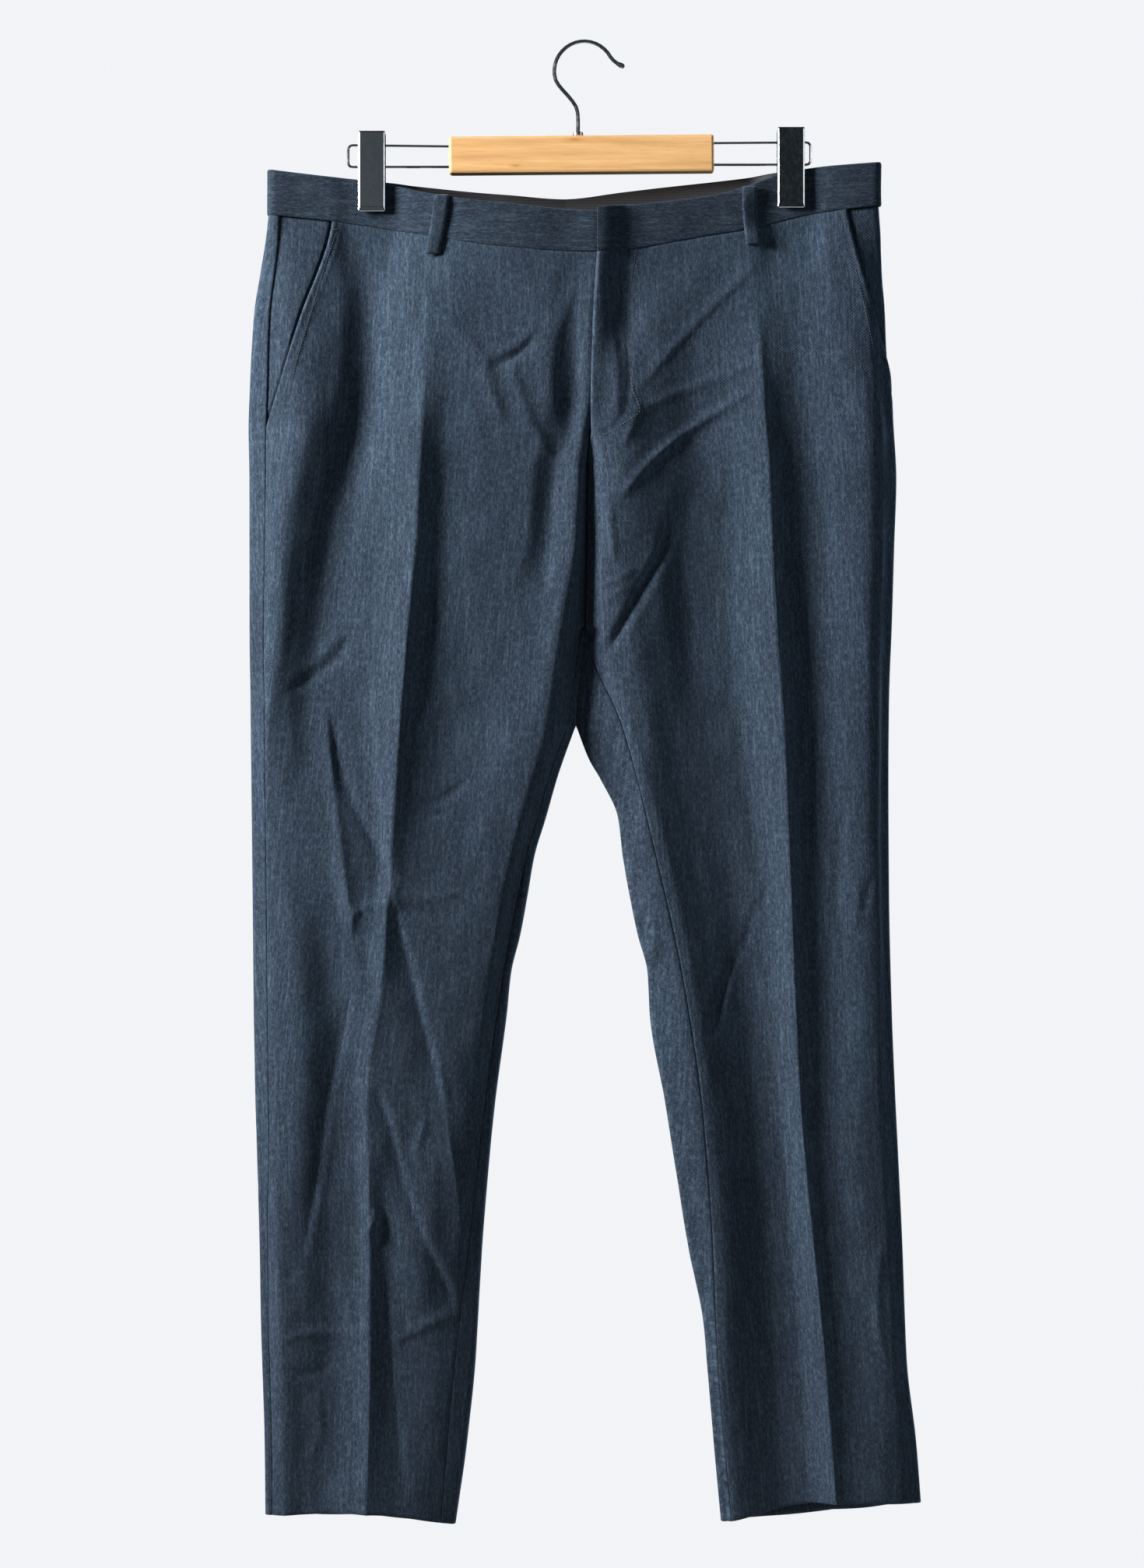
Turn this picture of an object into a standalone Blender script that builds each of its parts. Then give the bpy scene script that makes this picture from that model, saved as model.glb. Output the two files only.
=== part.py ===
"""Dress trousers hanging from a wooden clip hanger, front towards -Y.

Every size and table here is in millimetres; MM turns it into metres.
The origin is where a rod would touch the underside of the hook's crown.
Left and right are the wearer's, so the wearer's left is at +X.
Each half of the trousers is a stack of rings. A ring runs from the centre
front outwards, round the side fold and back to the centre back; below the
crotch it goes on round the inner edge of the leg to the inseam.
Depth is measured out of the middle plane y = 0, forwards or backwards.
"""

import math

import bmesh
import bpy
from mathutils import Vector

MM = 0.001

# Cloth
CLOTH = 1.2
LINING_CLOTH = 1.0
BAND_CLOTH = 2.0
SEAM_GAP = 0.4
HALF_GAP = SEAM_GAP / 2
LAYER_GAP = 0.3
FOLD_RADIUS = 5.0
BAND_PROUD = 0.7

# Heights of the nominal rows
WAIST = -165.0
LEVEL = -300.0
FLY_END = -316.0
CROTCH = -468.0
SADDLE_DROP = 80.0
SADDLE_FADE = 400.0
INNER_FOLD_FULL = -570.0
INSEAM_SET_BACK = 1.5
HEM = -1180.0
HEM_LEVEL = -1100.0
HIP_ROWS = (-165, -188, -215, -247, -280, -299, -316, -345, -375, -405, -436, -468)
LEG_ROWS = (
    -500, -532, -565, -600, -645, -690, -735, -780,
    -830, -880, -930, -980, -1030, -1080, -1130, -1180,
)

# Pocket mouths: how far in from the side seam they start, and where they end
POCKET_WIDTH = 42.0
POCKET_END = -308.0
POCKET_BEND = 1.3
FACING_PAST_SEAM = 3.0
FACING_GAP = 0.8

# Fly: how far behind the left front's face each part lies, and its reach from the fly's edge
UNDERLAP_END = 45.0
UNDERLAP_CLEAR = 8.0
FLY_TOP = -173.0
SHIELD_BEHIND = 4.8
SHIELD_REACH = (0.5, 34.0)
SHIELD_ROWS = (-177.0, -215.0, -247.0, -280.0, -305.0, -330.0)
ZIP_BEHIND = 2.5
ZIP_REACH = (6.4, 20.0)
ZIP_ROWS = (-177.0, -215.0, -247.0, -280.0, -308.0)
ZIP_CLOTH = 0.8

# Belt loops
LOOP_WIDTH = 10.0
LOOP_CLOTH = 1.2
LOOP_STANDOFF = 6.8
LOOP_END_STANDOFF = 2.0
LOOP_BEND = 5.0

# Hanger
WIRE_RADIUS = 1.0
HOOK_WIRE_RADIUS = 1.5
HOOK_RADIUS = 24.0
HOOK_ARC = (38.0, 197.0)
HOOK_TIP = (
    # x, z, from the ball at the tip to the start of the arc
    (32.2, -19.2),
    (31.2, -18.7),
    (29.8, -18.0),
    (28.4, -17.3),
    (26.2, -16.0),
    (23.4, -13.8),
    (21.0, -11.0),
)
HOOK_TIP_THICKNESS = (0.6, 1.3, 1.5, 1.3)
HOOK_NECK = (
    # x, z, from the end of the arc down to the straight stem
    (-20.6, -33.6),
    (-17.6, -37.2),
    (-13.6, -41.6),
    (-9.4, -46.6),
    (-6.6, -51.0),
    (-5.3, -55.5),
    (-4.9, -61.0),
)
STEM_X = -4.9
BAR_LENGTH = 212.4
BAR_HEIGHT = 29.7
BAR_DEPTH = 13.0
BAR_CENTRE = (-2.2, -89.9)
BAR_TILT = math.radians(0.5)
SOCKET_DEPTH = 12.0
SOCKET_CLEARANCE = 0.3
COLLAR_RADIUS = 4.0
COLLAR_HEIGHT = 3.0
CLIP_WIDTH = 21.5
CLIP_HEIGHT = 64.5
CLIP_PLATE = 2.5
CLIP_INSIDE = 5.0
PAD_SIZE = (18.0, 2.1, 15.0)
PAD_RISE = 1.5
SPRING = (
    # distance from the middle plane, distance below the clip's top
    (4.2, 41.0),
    (4.2, 18.0),
    (3.9, 11.0),
    (3.0, 5.5),
    (1.6, 3.4),
    (0.0, 2.9),
)
SPRING_METAL = 0.6
GRIP = 1.6
GRIP_HALF_WIDTH = 11.0
GRIP_FADE = 22.0
GRIP_END = -168.0
GRIP_END_FADE = 47.0
CLIPS = {
    # side: (x of the middle, z of the top)
    "right": (-170.3, -71.6),
    "left": (165.8, -68.5),
}
ARMS = {
    # side: (x at the far bend, z of the wires there, z of the wires at the bar)
    "right": (-189.4, (-82.0, -99.5), (-83.1, -99.3)),
    "left": (181.6, (-79.7, -97.6), (-80.4, -97.6)),
}

# The garment's outline seen from the front: x of the two outer edges
OUTER_EDGE = (
    # z, wearer's right, wearer's left
    (-96, -252.0, 236.5),
    (-131, -253.2, 237.8),
    (-156, -255.5, 239.4),
    (-184, -259.8, 240.3),
    (-215, -264.8, 242.7),
    (-246, -267.3, 243.9),
    (-278, -268.6, 246.4),
    (-309, -269.6, 248.5),
    (-350, -269.0, 250.6),
    (-403, -268.9, 248.9),
    (-468, -269.0, 247.0),
    (-528, -268.0, 244.8),
    (-590, -267.3, 244.3),
    (-684, -266.2, 244.8),
    (-778, -265.3, 247.0),
    (-840, -264.3, 249.5),
    (-903, -262.3, 252.6),
    (-965, -260.6, 255.5),
    (-1028, -259.6, 257.7),
    (-1060, -258.6, 259.2),
    (-1121, -256.7, 266.4),
    (-1180, -256.0, 271.0),
)
# The outline's inner edges, below the saddle where the legs part
INNER_EDGE = (
    # z, wearer's right, wearer's left
    (-548, -6.9, -6.5),
    (-575, -16.7, 4.0),
    (-590, -21.7, 12.7),
    (-621, -30.5, 27.0),
    (-652, -39.8, 30.8),
    (-684, -45.4, 36.4),
    (-715, -51.1, 42.7),
    (-746, -58.6, 50.8),
    (-778, -61.9, 52.4),
    (-850, -71.4, 64.8),
    (-903, -76.7, 73.3),
    (-965, -81.7, 83.3),
    (-1028, -85.4, 95.8),
    (-1060, -87.3, 98.5),
    (-1121, -94.0, 103.8),
    (-1187, -104.2, 110.3),
)
# The middle line where the halves meet, at the front, under the crotch and behind
CENTRE_FRONT = ((-468, 0.5), (-400, 1.8), (-340, 2.5), (-316, 4.4), (-280, 4.9), (-215, 7.1), (-165, 10.2))
CENTRE_BACK = ((-468, -3.0), (-300, -10.0), (-120, -16.8))
SADDLE_X = -6.7

# The waistband's edges
WAIST_FRONT_RIGHT = (
    # x, top of the band, waist seam
    (-254, -102.0, -138.6),
    (-205, -107.6, -143.4),
    (-170, -111.2, -148.2),
    (-122, -122.5, -156.6),
    (-92, -128.0, -162.5),
    (-60, -131.4, -166.5),
    (-17, -135.7, -169.6),
    (45, -138.0, -169.9),
)
WAIST_FRONT_LEFT = (
    (10, -134.3, -169.9),
    (32, -131.8, -168.0),
    (64, -128.4, -162.7),
    (100, -123.5, -155.5),
    (128, -116.1, -151.0),
    (155, -105.8, -144.3),
    (182, -100.6, -138.0),
    (212, -98.2, -134.3),
    (238, -96.0, -131.2),
)
WAIST_BACK = (
    (-254, -102.0, -138.6),
    (-205, -107.6, -143.6),
    (-158, -111.8, -148.0),
    (-107, -115.8, -152.0),
    (-60, -118.5, -154.8),
    (-17, -121.4, -157.6),
    (32, -116.0, -152.5),
    (64, -112.5, -149.0),
    (128, -106.9, -143.4),
    (182, -100.6, -137.0),
    (238, -96.0, -131.2),
)
# The hems' heights at the outer edge, the crease and the inner edge
HEMS = {
    # side: (front heights, back heights)
    "right": ((-1179.7, -1176.5, -1187.0), (-1179.7, -1184.0, -1187.0)),
    "left": ((-1170.0, -1169.0, -1185.0), (-1170.0, -1180.0, -1185.0)),
}

# Sections of the fronts: at each height, x and forward depth on named upright lines.
# centre is the centre front down to the crotch and the inseam below it.
FRONT_RIGHT_LINES = ("centre", "rise", "dip", "flat", "shoulder", "crease", "hollow", "side")
FRONT_RIGHT = (
    (-165, (15.2, 16.0), (7.7, 16.8), (-9, 12), (-60, 22), (-100, 15.5), (-124, 10), (-173, 1.6), (-229, 4)),
    (-215, (12.1, 16.5), (6, 17.2), (-9, 11), (-49, 20.5), (-100, 19), (-124, 17), (-180, 3), (-237, 11)),
    (-280, (9.9, 16.6), (3.5, 17.4), (-15, 12), (-50, 17), (-107, 20), (-128, 24), (-187, 4.5), (-235, 17)),
    (-316, (4.2, 14), (-2, 18.5), (-23, 13), (-62, 16.5), (-110, 18.5), (-130, 26), (-189, 6), (-232, 19)),
    (-340, (2.3, 10), (-4, 20), (-27, 13), (-69, 16), (-112, 18), (-131, 27), (-191, 7), (-229, 20)),
    (-400, (1.6, 8), (-9, 22), (-30, 13), (-69, 16), (-114, 18), (-134, 28), (-202, 9), (-232, 21)),
    (-468, (0.3, 7), (-17, 22), (-34, 14), (-75, 16), (-120, 18), (-140, 29), (-214, 10), (-241, 19)),
    (-550, (-13.5, 7), (-33, 18), (-52, 17), (-82, 17), (-129, 19), (-147, 29), (-226, 12), (-249, 15)),
    (-650, (-45.5, 6.5), (-56, 14.5), (-70, 17), (-94, 17), (-135, 18), (-154, 27), (-234, 11.5), (-253, 11)),
    (-750, (-65.5, 6.5), (-75, 13.5), (-89, 16.5), (-107, 17), (-144, 18), (-161, 24), (-215, 13), (-250, 10)),
    (-850, (-79.5, 7), (-90, 13), (-104, 15.5), (-119, 16), (-156, 17), (-173, 22), (-206, 10), (-249, 12)),
    (-950, (-91, 8), (-100, 12), (-112, 14.5), (-129, 14), (-152, 13), (-169, 20), (-201, 9), (-245, 13)),
    (-1060, (-104, 9.5), (-112, 11.5), (-122, 13), (-135, 13), (-154, 11), (-171, 20), (-204, 10), (-241, 13)),
    (-1180, (-115, 9), (-120, 10.5), (-127, 11.5), (-135, 11.5), (-148, 10), (-174, 21), (-205, 13), (-238, 12)),
)
FRONT_LEFT_LINES = ("centre", "rise", "dip", "flat", "crease", "shoulder", "hollow", "side")
FRONT_LEFT = (
    (-165, (10.2, 19), (15, 18.5), (40, 11), (93, 13), (136, 8), (150, 4), (168, 1.6), (212, 6)),
    (-215, (7.1, 19.5), (13, 19), (34, 10), (81, 14), (139, 15), (156, 11), (173, 7), (221, 14)),
    (-280, (4.9, 19.5), (15, 20), (38, 15), (81, 14), (143, 20), (158, 15), (176, 10), (225, 17)),
    (-316, (4.6, 16), (22, 20), (58, 13), (98, 13.5), (146, 22), (160, 16), (178, 10.5), (226, 18)),
    (-340, (2.7, 10), (28, 20), (75, 11), (109, 13), (148, 24), (162, 17), (179, 11), (226, 18)),
    (-400, (2.0, 8), (31, 20), (87, 7), (115, 10), (150.5, 25), (164, 17), (180, 11), (226, 18)),
    (-468, (0.7, 7), (22, 18), (87, 6), (115, 9), (154, 26), (167, 17), (181, 11), (226, 18)),
    (-550, (30.8, 16), (41, 16.5), (87, 6), (115, 9), (160, 26), (171, 17), (183, 11), (225, 18)),
    (-650, (57, 15), (64, 14.8), (90, 7), (118, 8), (164, 25), (175, 16), (185, 11), (223, 17)),
    (-750, (79, 13), (85, 12.5), (112, 5.5), (134, 8), (168, 23), (178, 15), (188, 11), (225, 16)),
    (-850, (94, 12), (100, 11), (125, 5), (143, 8), (173, 21), (182, 14), (192, 11), (228, 15)),
    (-950, (102, 11), (107, 9), (128, 4.5), (150, 7), (182, 19), (190, 14), (201, 11), (234, 13)),
    (-1060, (107, 8), (112, 6.5), (131, 4.5), (156, 8), (193, 19), (203, 15), (215, 13), (240, 11)),
    (-1180, (118, 6.5), (123, 6), (136, 6.5), (165, 13), (201, 21), (213, 17), (228, 14), (250, 10)),
)
# Sections of the backs: backward depth on the same kind of lines, for both halves
BACK_LINES = ("centre", "inner", "crease", "hollow", "side")
BACK = (
    (-165, (22, 19, 9, 1.6, 4)),
    (-215, (23, 21, 16, 5, 9)),
    (-300, (21, 21, 23, 9, 15)),
    (-400, (17, 19, 26, 11, 17)),
    (-468, (14, 18, 27, 11, 16)),
    (-560, (11, 16, 27, 11, 13)),
    (-700, (9, 14, 25, 10, 11)),
    (-850, (8.5, 13, 22, 10, 10.5)),
    (-1000, (8, 12, 20, 10, 10.5)),
    (-1180, (8, 12, 20, 11, 10.5)),
)
BACK_SIDE_SHARE = 0.22
BACK_HOLLOW_SHARE = 0.52
BACK_STRIP = 26.0
SIDE_SEAM = {
    # side: (z, distance of the seam from the outer edge)
    "right": (
        (-1180, 6.0), (-960, 7.0), (-850, 11.5), (-500, 12.0),
        (-352, 14.0), (-291, 15.0), (-207, 12.0), (-139, 8.0),
    ),
    "left": ((-1180, 9.0), (-139, 9.0)),
}
# The half depth of the fold at the inner edge, in front and behind
INNER_FOLD_FRONT = ((-600, 5.0), (-468, 7.0))
INNER_FOLD_BACK = ((-620, 5.0), (-468, 14.0))

# The largest slanting folds: half, face, height, half width, and (x, z) along the fold
FOLDS = (
    ("left", 4.0, 14.0, ((37, -352), (64, -327), (92, -306), (127, -285))),
    ("left", -4.5, 12.0, ((66, -395), (41, -444), (20, -486))),
    ("left", -3.5, 12.0, ((136, -704), (113, -758), (103, -795))),
    ("right", 3.5, 12.0, ((-205, -579), (-200, -609), (-187, -675), (-172, -778))),
    ("right", 3.0, 13.0, ((-166, -840), (-145, -905), (-126, -967), (-112, -1017))),
)

LOOPS = {
    # name: (side, face, x and z at the top, x and z at the foot)
    "loop_front_right": ("right", "front", (-113.6, -125.6), (-121.3, -170.5)),
    "loop_front_left": ("left", "front", (132.4, -117.0), (135.2, -161.5)),
    "loop_back_right": ("right", "back", (-138.0, -115.5), (-138.0, -162.5)),
    "loop_back_left": ("left", "back", (124.0, -109.5), (124.0, -156.5)),
    "loop_back_centre": ("right", "back", (-16.9, -122.5), (-16.9, -169.5)),
}

COLOURS = {
    # material: (red, green, blue, roughness, metallic)
    "wool": (0.046, 0.062, 0.085, 0.9, 0.0),
    "lining": (0.040, 0.038, 0.040, 0.8, 0.0),
    "zip": (0.020, 0.026, 0.034, 0.6, 0.0),
    "wood": (0.800, 0.445, 0.180, 0.5, 0.0),
    "chrome": (0.620, 0.640, 0.660, 0.12, 1.0),
    "rubber": (0.030, 0.030, 0.032, 0.8, 0.0),
}


def clear_scene():
    for thing in list(bpy.data.objects):
        bpy.data.objects.remove(thing, do_unlink=True)


def make_collection(name):
    collection = bpy.data.collections.new(name)
    bpy.context.scene.collection.children.link(collection)
    return collection


def make_material(name):
    red, green, blue, roughness, metallic = COLOURS[name]
    material = bpy.data.materials.new(name)
    material.use_nodes = True
    shader = material.node_tree.nodes["Principled BSDF"]
    shader.inputs["Base Color"].default_value = (red, green, blue, 1.0)
    shader.inputs["Roughness"].default_value = roughness
    shader.inputs["Metallic"].default_value = metallic
    material.diffuse_color = (red, green, blue, 1.0)
    return material


def blend(start, end, share):
    return start + (end - start) * share


def ease(share):
    held = min(max(share, 0.0), 1.0)
    return held * held * (3.0 - 2.0 * held)


def curve_through(points):
    """A smooth curve that never overshoots, through (position, value) pairs."""
    known = sorted(points)
    places = [place for place, _ in known]
    values = [value for _, value in known]
    steps = [after - before for before, after in zip(places, places[1:])]
    slopes = [(values[i + 1] - values[i]) / steps[i] for i in range(len(steps))]
    tangents = [slopes[0]]
    for before, after in zip(slopes, slopes[1:]):
        same_way = before * after > 0.0
        tangents.append(2.0 * before * after / (before + after) if same_way else 0.0)
    tangents.append(slopes[-1])

    def at(place):
        if place <= places[0]:
            return values[0]
        if place >= places[-1]:
            return values[-1]
        i = max(k for k in range(len(steps)) if places[k] <= place)
        t = (place - places[i]) / steps[i]
        start = values[i] * (1 + 2 * t) * (1 - t) ** 2 + tangents[i] * steps[i] * t * (1 - t) ** 2
        end = values[i + 1] * t * t * (3 - 2 * t) + tangents[i + 1] * steps[i] * t * t * (t - 1)
        return start + end

    return at


def distance_to_path(x, z, path):
    """Distance to a run of straight stretches, and how far along it that is, from 0 to 1."""
    best = (1e9, 0.0)
    last = len(path) - 1
    for i in range(last):
        (ax, az), (bx, bz) = path[i], path[i + 1]
        length = (bx - ax) ** 2 + (bz - az) ** 2
        share = min(max(((x - ax) * (bx - ax) + (z - az) * (bz - az)) / length, 0.0), 1.0)
        away = math.hypot(x - blend(ax, bx, share), z - blend(az, bz, share))
        best = min(best, (away, (i + share) / last))
    return best


def fold_height(side, x, z):
    height = 0.0
    for fold_side, rise, half_width, path in FOLDS:
        if fold_side == side:
            away, along = distance_to_path(x, z, path)
            across = ease(1.0 - away / (2.0 * half_width))
            height += rise * across * (1.0 - (2.0 * along - 1.0) ** 4)
    return height


centre_front = curve_through(CENTRE_FRONT)
centre_back = curve_through(CENTRE_BACK)
inner_fold_front = curve_through(INNER_FOLD_FRONT)
inner_fold_back = curve_through(INNER_FOLD_BACK)


class Half:
    """One side of the trousers. `out` is the distance of a point from x = 0 towards its side."""

    def __init__(self, side, sign, lines, sections, waist_front):
        column = 1 if side == "right" else 2
        self.side = side
        self.sign = sign
        self.lines = lines
        self.clip = sign * CLIPS[side][0]
        self.outer = curve_through([(row[0], sign * row[column]) for row in OUTER_EDGE])
        self.inner = curve_through([(row[0], sign * row[column]) for row in INNER_EDGE])
        self.place = {}
        self.depth = {}
        for number, line in enumerate(lines, start=1):
            self.place[line] = curve_through([(row[0], sign * row[number][0]) for row in sections])
            self.depth[line] = curve_through([(row[0], row[number][1]) for row in sections])
        self.back_depth = {}
        for number, line in enumerate(BACK_LINES):
            self.back_depth[line] = curve_through([(row[0], row[1][number]) for row in BACK])
        self.side_seam = curve_through(SIDE_SEAM[side])
        self.band_top = {
            "front": curve_through([(row[0], row[1]) for row in waist_front]),
            "back": curve_through([(row[0], row[1]) for row in WAIST_BACK]),
        }
        self.waist_seam = {
            "front": curve_through([(row[0], row[2]) for row in waist_front]),
            "back": curve_through([(row[0], row[2]) for row in WAIST_BACK]),
        }

    def hem(self, face, out):
        """Height of the hem at this distance from the middle."""
        heights = HEMS[self.side][0 if face == "front" else 1]
        places = (self.outer(HEM), self.place["crease"](HEM), self.inner(HEM))
        return curve_through(list(zip(places, heights)))(out)

    def height(self, face, out, z):
        """Real height of a point on the nominal row z: rows bend to the waist seam and the hem."""
        if z > LEVEL:
            rise = self.waist_seam[face](self.sign * out) - WAIST
            return z + rise * (z - LEVEL) / (WAIST - LEVEL)
        if z < HEM_LEVEL:
            rise = self.hem(face, out) - HEM
            return z + rise * (z - HEM_LEVEL) / (HEM - HEM_LEVEL)
        return z

    def edge(self, z):
        """The outer edge on the nominal row z."""
        return self.outer(self.height("front", self.outer(z), z))

    def middle(self, z, share):
        """The line where the halves touch: share 0 in front, 1 behind."""
        drop = (CROTCH - z) / SADDLE_DROP
        if drop > 0.0:
            start = blend(centre_front(CROTCH), centre_back(CROTCH), ease(share))
            x = blend(start, SADDLE_X, drop)
        else:
            x = centre_front(z) if share < 0.5 else centre_back(z)
        return self.sign * x + HALF_GAP

    def inner_edge(self, z, share):
        """The leg's inner edge; above the saddle it is the middle line."""
        if z >= CROTCH - SADDLE_DROP:
            return self.middle(z, share)
        return self.inner(z)

    def inner_fold(self, z):
        """Half width of the fold at the leg's inner edge, none at the crotch seam."""
        return FOLD_RADIUS * math.sqrt(min((CROTCH - z) / (CROTCH - INNER_FOLD_FULL), 1.0))

    def centre_line(self, z):
        """The front's inner boundary: the centre front, then the inseam."""
        if z > FLY_END:
            return self.place["centre"](z)
        if z >= CROTCH:
            return self.middle(z, 0.0)
        return max(self.place["centre"](z), self.inner_edge(z, 0.0) + self.inner_fold(z) + INSEAM_SET_BACK)

    def pinched(self, out, z, depth):
        """The clips press the layers together at the waist."""
        beside = ease((abs(out - self.clip) - GRIP_HALF_WIDTH) / GRIP_FADE)
        below = ease((GRIP_END - z) / GRIP_END_FADE)
        return blend(blend(GRIP, depth, beside), depth, below)

    def held(self, out, z, way):
        """Draw an upright line towards the edge of the clip near the waist."""
        return blend(out, self.clip + way * GRIP_HALF_WIDTH, ease((z - WAIST) / GRIP_END_FADE + 1.0))

    def front_depth(self, out, z):
        crease = self.place["crease"](z)
        stations = [(self.centre_line(z), self.depth["centre"](z))]
        stations += [(self.place[line](z), self.depth[line](z)) for line in self.lines[1:]]
        stations.append((self.edge(z) - FOLD_RADIUS, FOLD_RADIUS))
        if z < CROTCH:
            stations.append((self.inner_edge(z, 0.0) + self.inner_fold(z), inner_fold_front(z)))
        near = [station for station in stations if (station[0] - crease) * (out - crease) >= 0.0]
        depth = curve_through(near)(out)
        beside = ease((self.edge(z) - out) / (6 * FOLD_RADIUS))
        return self.pinched(out, z, depth + beside * fold_height(self.side, self.sign * out, z))

    def back_places(self, z):
        edge = self.edge(z)
        crease = self.place["crease"](z)
        if z >= CROTCH:
            centre = self.middle(z, 1.0)
        else:
            strip = BACK_STRIP * ease((CROTCH - z) / SADDLE_DROP)
            centre = self.inner_edge(z, 1.0) + max(strip, self.inner_fold(z) + INSEAM_SET_BACK)
        return {
            "centre": centre,
            "inner": blend(centre, crease, 0.5),
            "crease": crease,
            "hollow": blend(edge, crease, BACK_HOLLOW_SHARE),
            "side": blend(edge, crease, BACK_SIDE_SHARE),
        }

    def back_depth_at(self, out, z):
        places = self.back_places(z)
        stations = [(places[line], self.back_depth[line](z)) for line in BACK_LINES]
        stations.append((self.edge(z) - FOLD_RADIUS, FOLD_RADIUS))
        if z < CROTCH:
            stations.append((self.inner_edge(z, 1.0) + self.inner_fold(z), inner_fold_back(z)))
        crease = places["crease"]
        near = [station for station in stations if (station[0] - crease) * (out - crease) >= 0.0]
        return self.pinched(out, z, curve_through(near)(out))

    def point(self, face, out, depth, z):
        forward = -1.0 if face == "front" else 1.0
        return Vector((self.sign * out, forward * depth, self.height(face, out, z)))

    def front_points(self, z):
        """From the centre front, or the inseam, out to the line before the side fold."""
        places = {line: self.place[line](z) for line in self.lines}
        places["centre"] = self.centre_line(z)
        places["hollow"] = self.held(places["hollow"], z, 1.0)
        outs = [places["centre"], places["rise"]]
        if self.side == "right":
            before_hollow = self.held(blend(places["crease"], self.place["hollow"](z), 0.5), z, -1.0)
            outs += [places["dip"], blend(places["dip"], places["flat"], 0.5), places["flat"]]
            outs += [blend(places["flat"], places["shoulder"], 0.5), places["shoulder"], places["crease"]]
            outs += [before_hollow, places["hollow"], places["side"]]
        else:
            outs += [blend(places["rise"], places["dip"], 0.5), places["dip"], places["flat"]]
            outs += [blend(places["flat"], places["crease"], 0.5), places["crease"]]
            outs += [self.held(places["shoulder"], z, -1.0), places["hollow"]]
            outs += [blend(places["hollow"], places["side"], 0.5), places["side"]]
        return [self.point("front", out, self.front_depth(out, z), z) for out in outs]

    def side_fold(self, z):
        """Round the outer edge from front to back."""
        points = []
        for step in range(5):
            angle = math.radians(45.0 * step)
            out = self.edge(z) - FOLD_RADIUS * (1.0 - math.sin(angle))
            face = "front" if step <= 2 else "back"
            points.append(self.point(face, out, FOLD_RADIUS * abs(math.cos(angle)), z))
        return points

    def back_points(self, z):
        """From the line after the side fold in to the centre back."""
        places = self.back_places(z)
        outs = [places["side"], self.held(places["hollow"], z, 1.0)]
        outs += [self.held(blend(places["hollow"], places["crease"], 0.5), z, -1.0), places["crease"]]
        outs += [blend(places["crease"], places["inner"], 0.5), places["inner"]]
        outs += [blend(places["inner"], places["centre"], 0.5), places["centre"]]
        return [self.point("back", out, self.back_depth_at(out, z), z) for out in outs]

    def inner_zone(self, z):
        """From behind, round the inner edge of the leg, to the inseam in front.

        The crotch seam hangs between the legs, so this stretch of a ring dips,
        less and less on the rings below.
        """
        dip = SADDLE_DROP * max(0.0, 1.0 - (CROTCH - z) / SADDLE_FADE) ** 2
        fold = self.inner_fold(z)
        behind = self.back_places(z)["centre"] - self.inner_edge(z, 1.0)
        in_front = self.centre_line(z) - self.inner_edge(z, 0.0)
        corner = 1.0 - math.sqrt(0.5)
        points = []
        for step in range(7, -1, -1):
            share = step / 8
            face = "back" if share > 0.5 else "front"
            reach = behind if share > 0.5 else in_front
            wide = inner_fold_back(z) if share > 0.5 else inner_fold_front(z)
            lowered = z - dip * math.sin(math.pi * share)
            if step == 4:
                away, depth = 0.0, 0.0
            elif step in (3, 5):
                away, depth = fold * corner, wide * math.sqrt(0.5)
            elif step in (2, 6):
                away, depth = fold, wide
            else:
                away = blend(fold, reach, 0.5) if step else reach
                out = self.inner_edge(z, share) + away
                depth = self.back_depth_at(out, z) if step == 7 else self.front_depth(out, z)
            if z == CROTCH:
                away = 0.0
                depth = wide * abs(math.cos(math.pi * share))
            out = self.inner_edge(lowered, share) + away
            point = self.point(face, out, depth, z)
            if z >= HEM_LEVEL:
                point.z = lowered
            points.append(point)
        return points

    def ring(self, z):
        """The whole ring, and which of its points is on the side seam."""
        front = self.front_points(z)
        fold = self.side_fold(z)
        seam_out = self.edge(z) - self.side_seam(z)
        if self.side == "right":
            seam = self.point("front", seam_out, self.front_depth(seam_out, z), z)
            path = front + [seam] + fold
            seam_at = len(front)
        else:
            seam = self.point("back", seam_out, self.back_depth_at(seam_out, z), z)
            path = front + fold + [seam]
            seam_at = len(front) + len(fold)
        path += self.back_points(z)
        if z <= CROTCH:
            path += self.inner_zone(z)
        return path, seam_at


def path_length(path):
    return sum((after - before).length for before, after in zip(path, path[1:]))


def point_along(path, distance):
    """The point this far along a path."""
    left = distance
    for before, after in zip(path, path[1:]):
        length = (after - before).length
        if left <= length:
            return before.lerp(after, left / length)
        left -= length
    return path[-1].copy()


def shortened(path, cut):
    """The same number of points, ending `cut` short of the path's end."""
    share = 1.0 - cut / path_length(path)
    return [point_along(path, share * path_length(path[: index + 1])) for index in range(len(path))]


def stepped(path, index, neighbour, distance):
    """One point of a path, moved towards its neighbour to leave room for a seam."""
    return path[index] + (path[neighbour] - path[index]).normalized() * distance


def seam_room(before, here, after):
    """Half the gap at a seam: more where the cloth bends there, so the inner faces stay apart."""
    turn = (here - before).angle(after - here)
    return HALF_GAP + CLOTH * math.sin(turn / 2.0)


def shifted(path, sign, distance):
    """A ring's points moved level and square to it; a positive distance is outwards."""
    moved = []
    for index, here in enumerate(path):
        along = path[min(index + 1, len(path) - 1)] - path[max(index - 1, 0)]
        outward = Vector((along.y, -along.x, 0.0)).normalized() * sign
        moved.append(here + outward * distance)
    return moved


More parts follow.
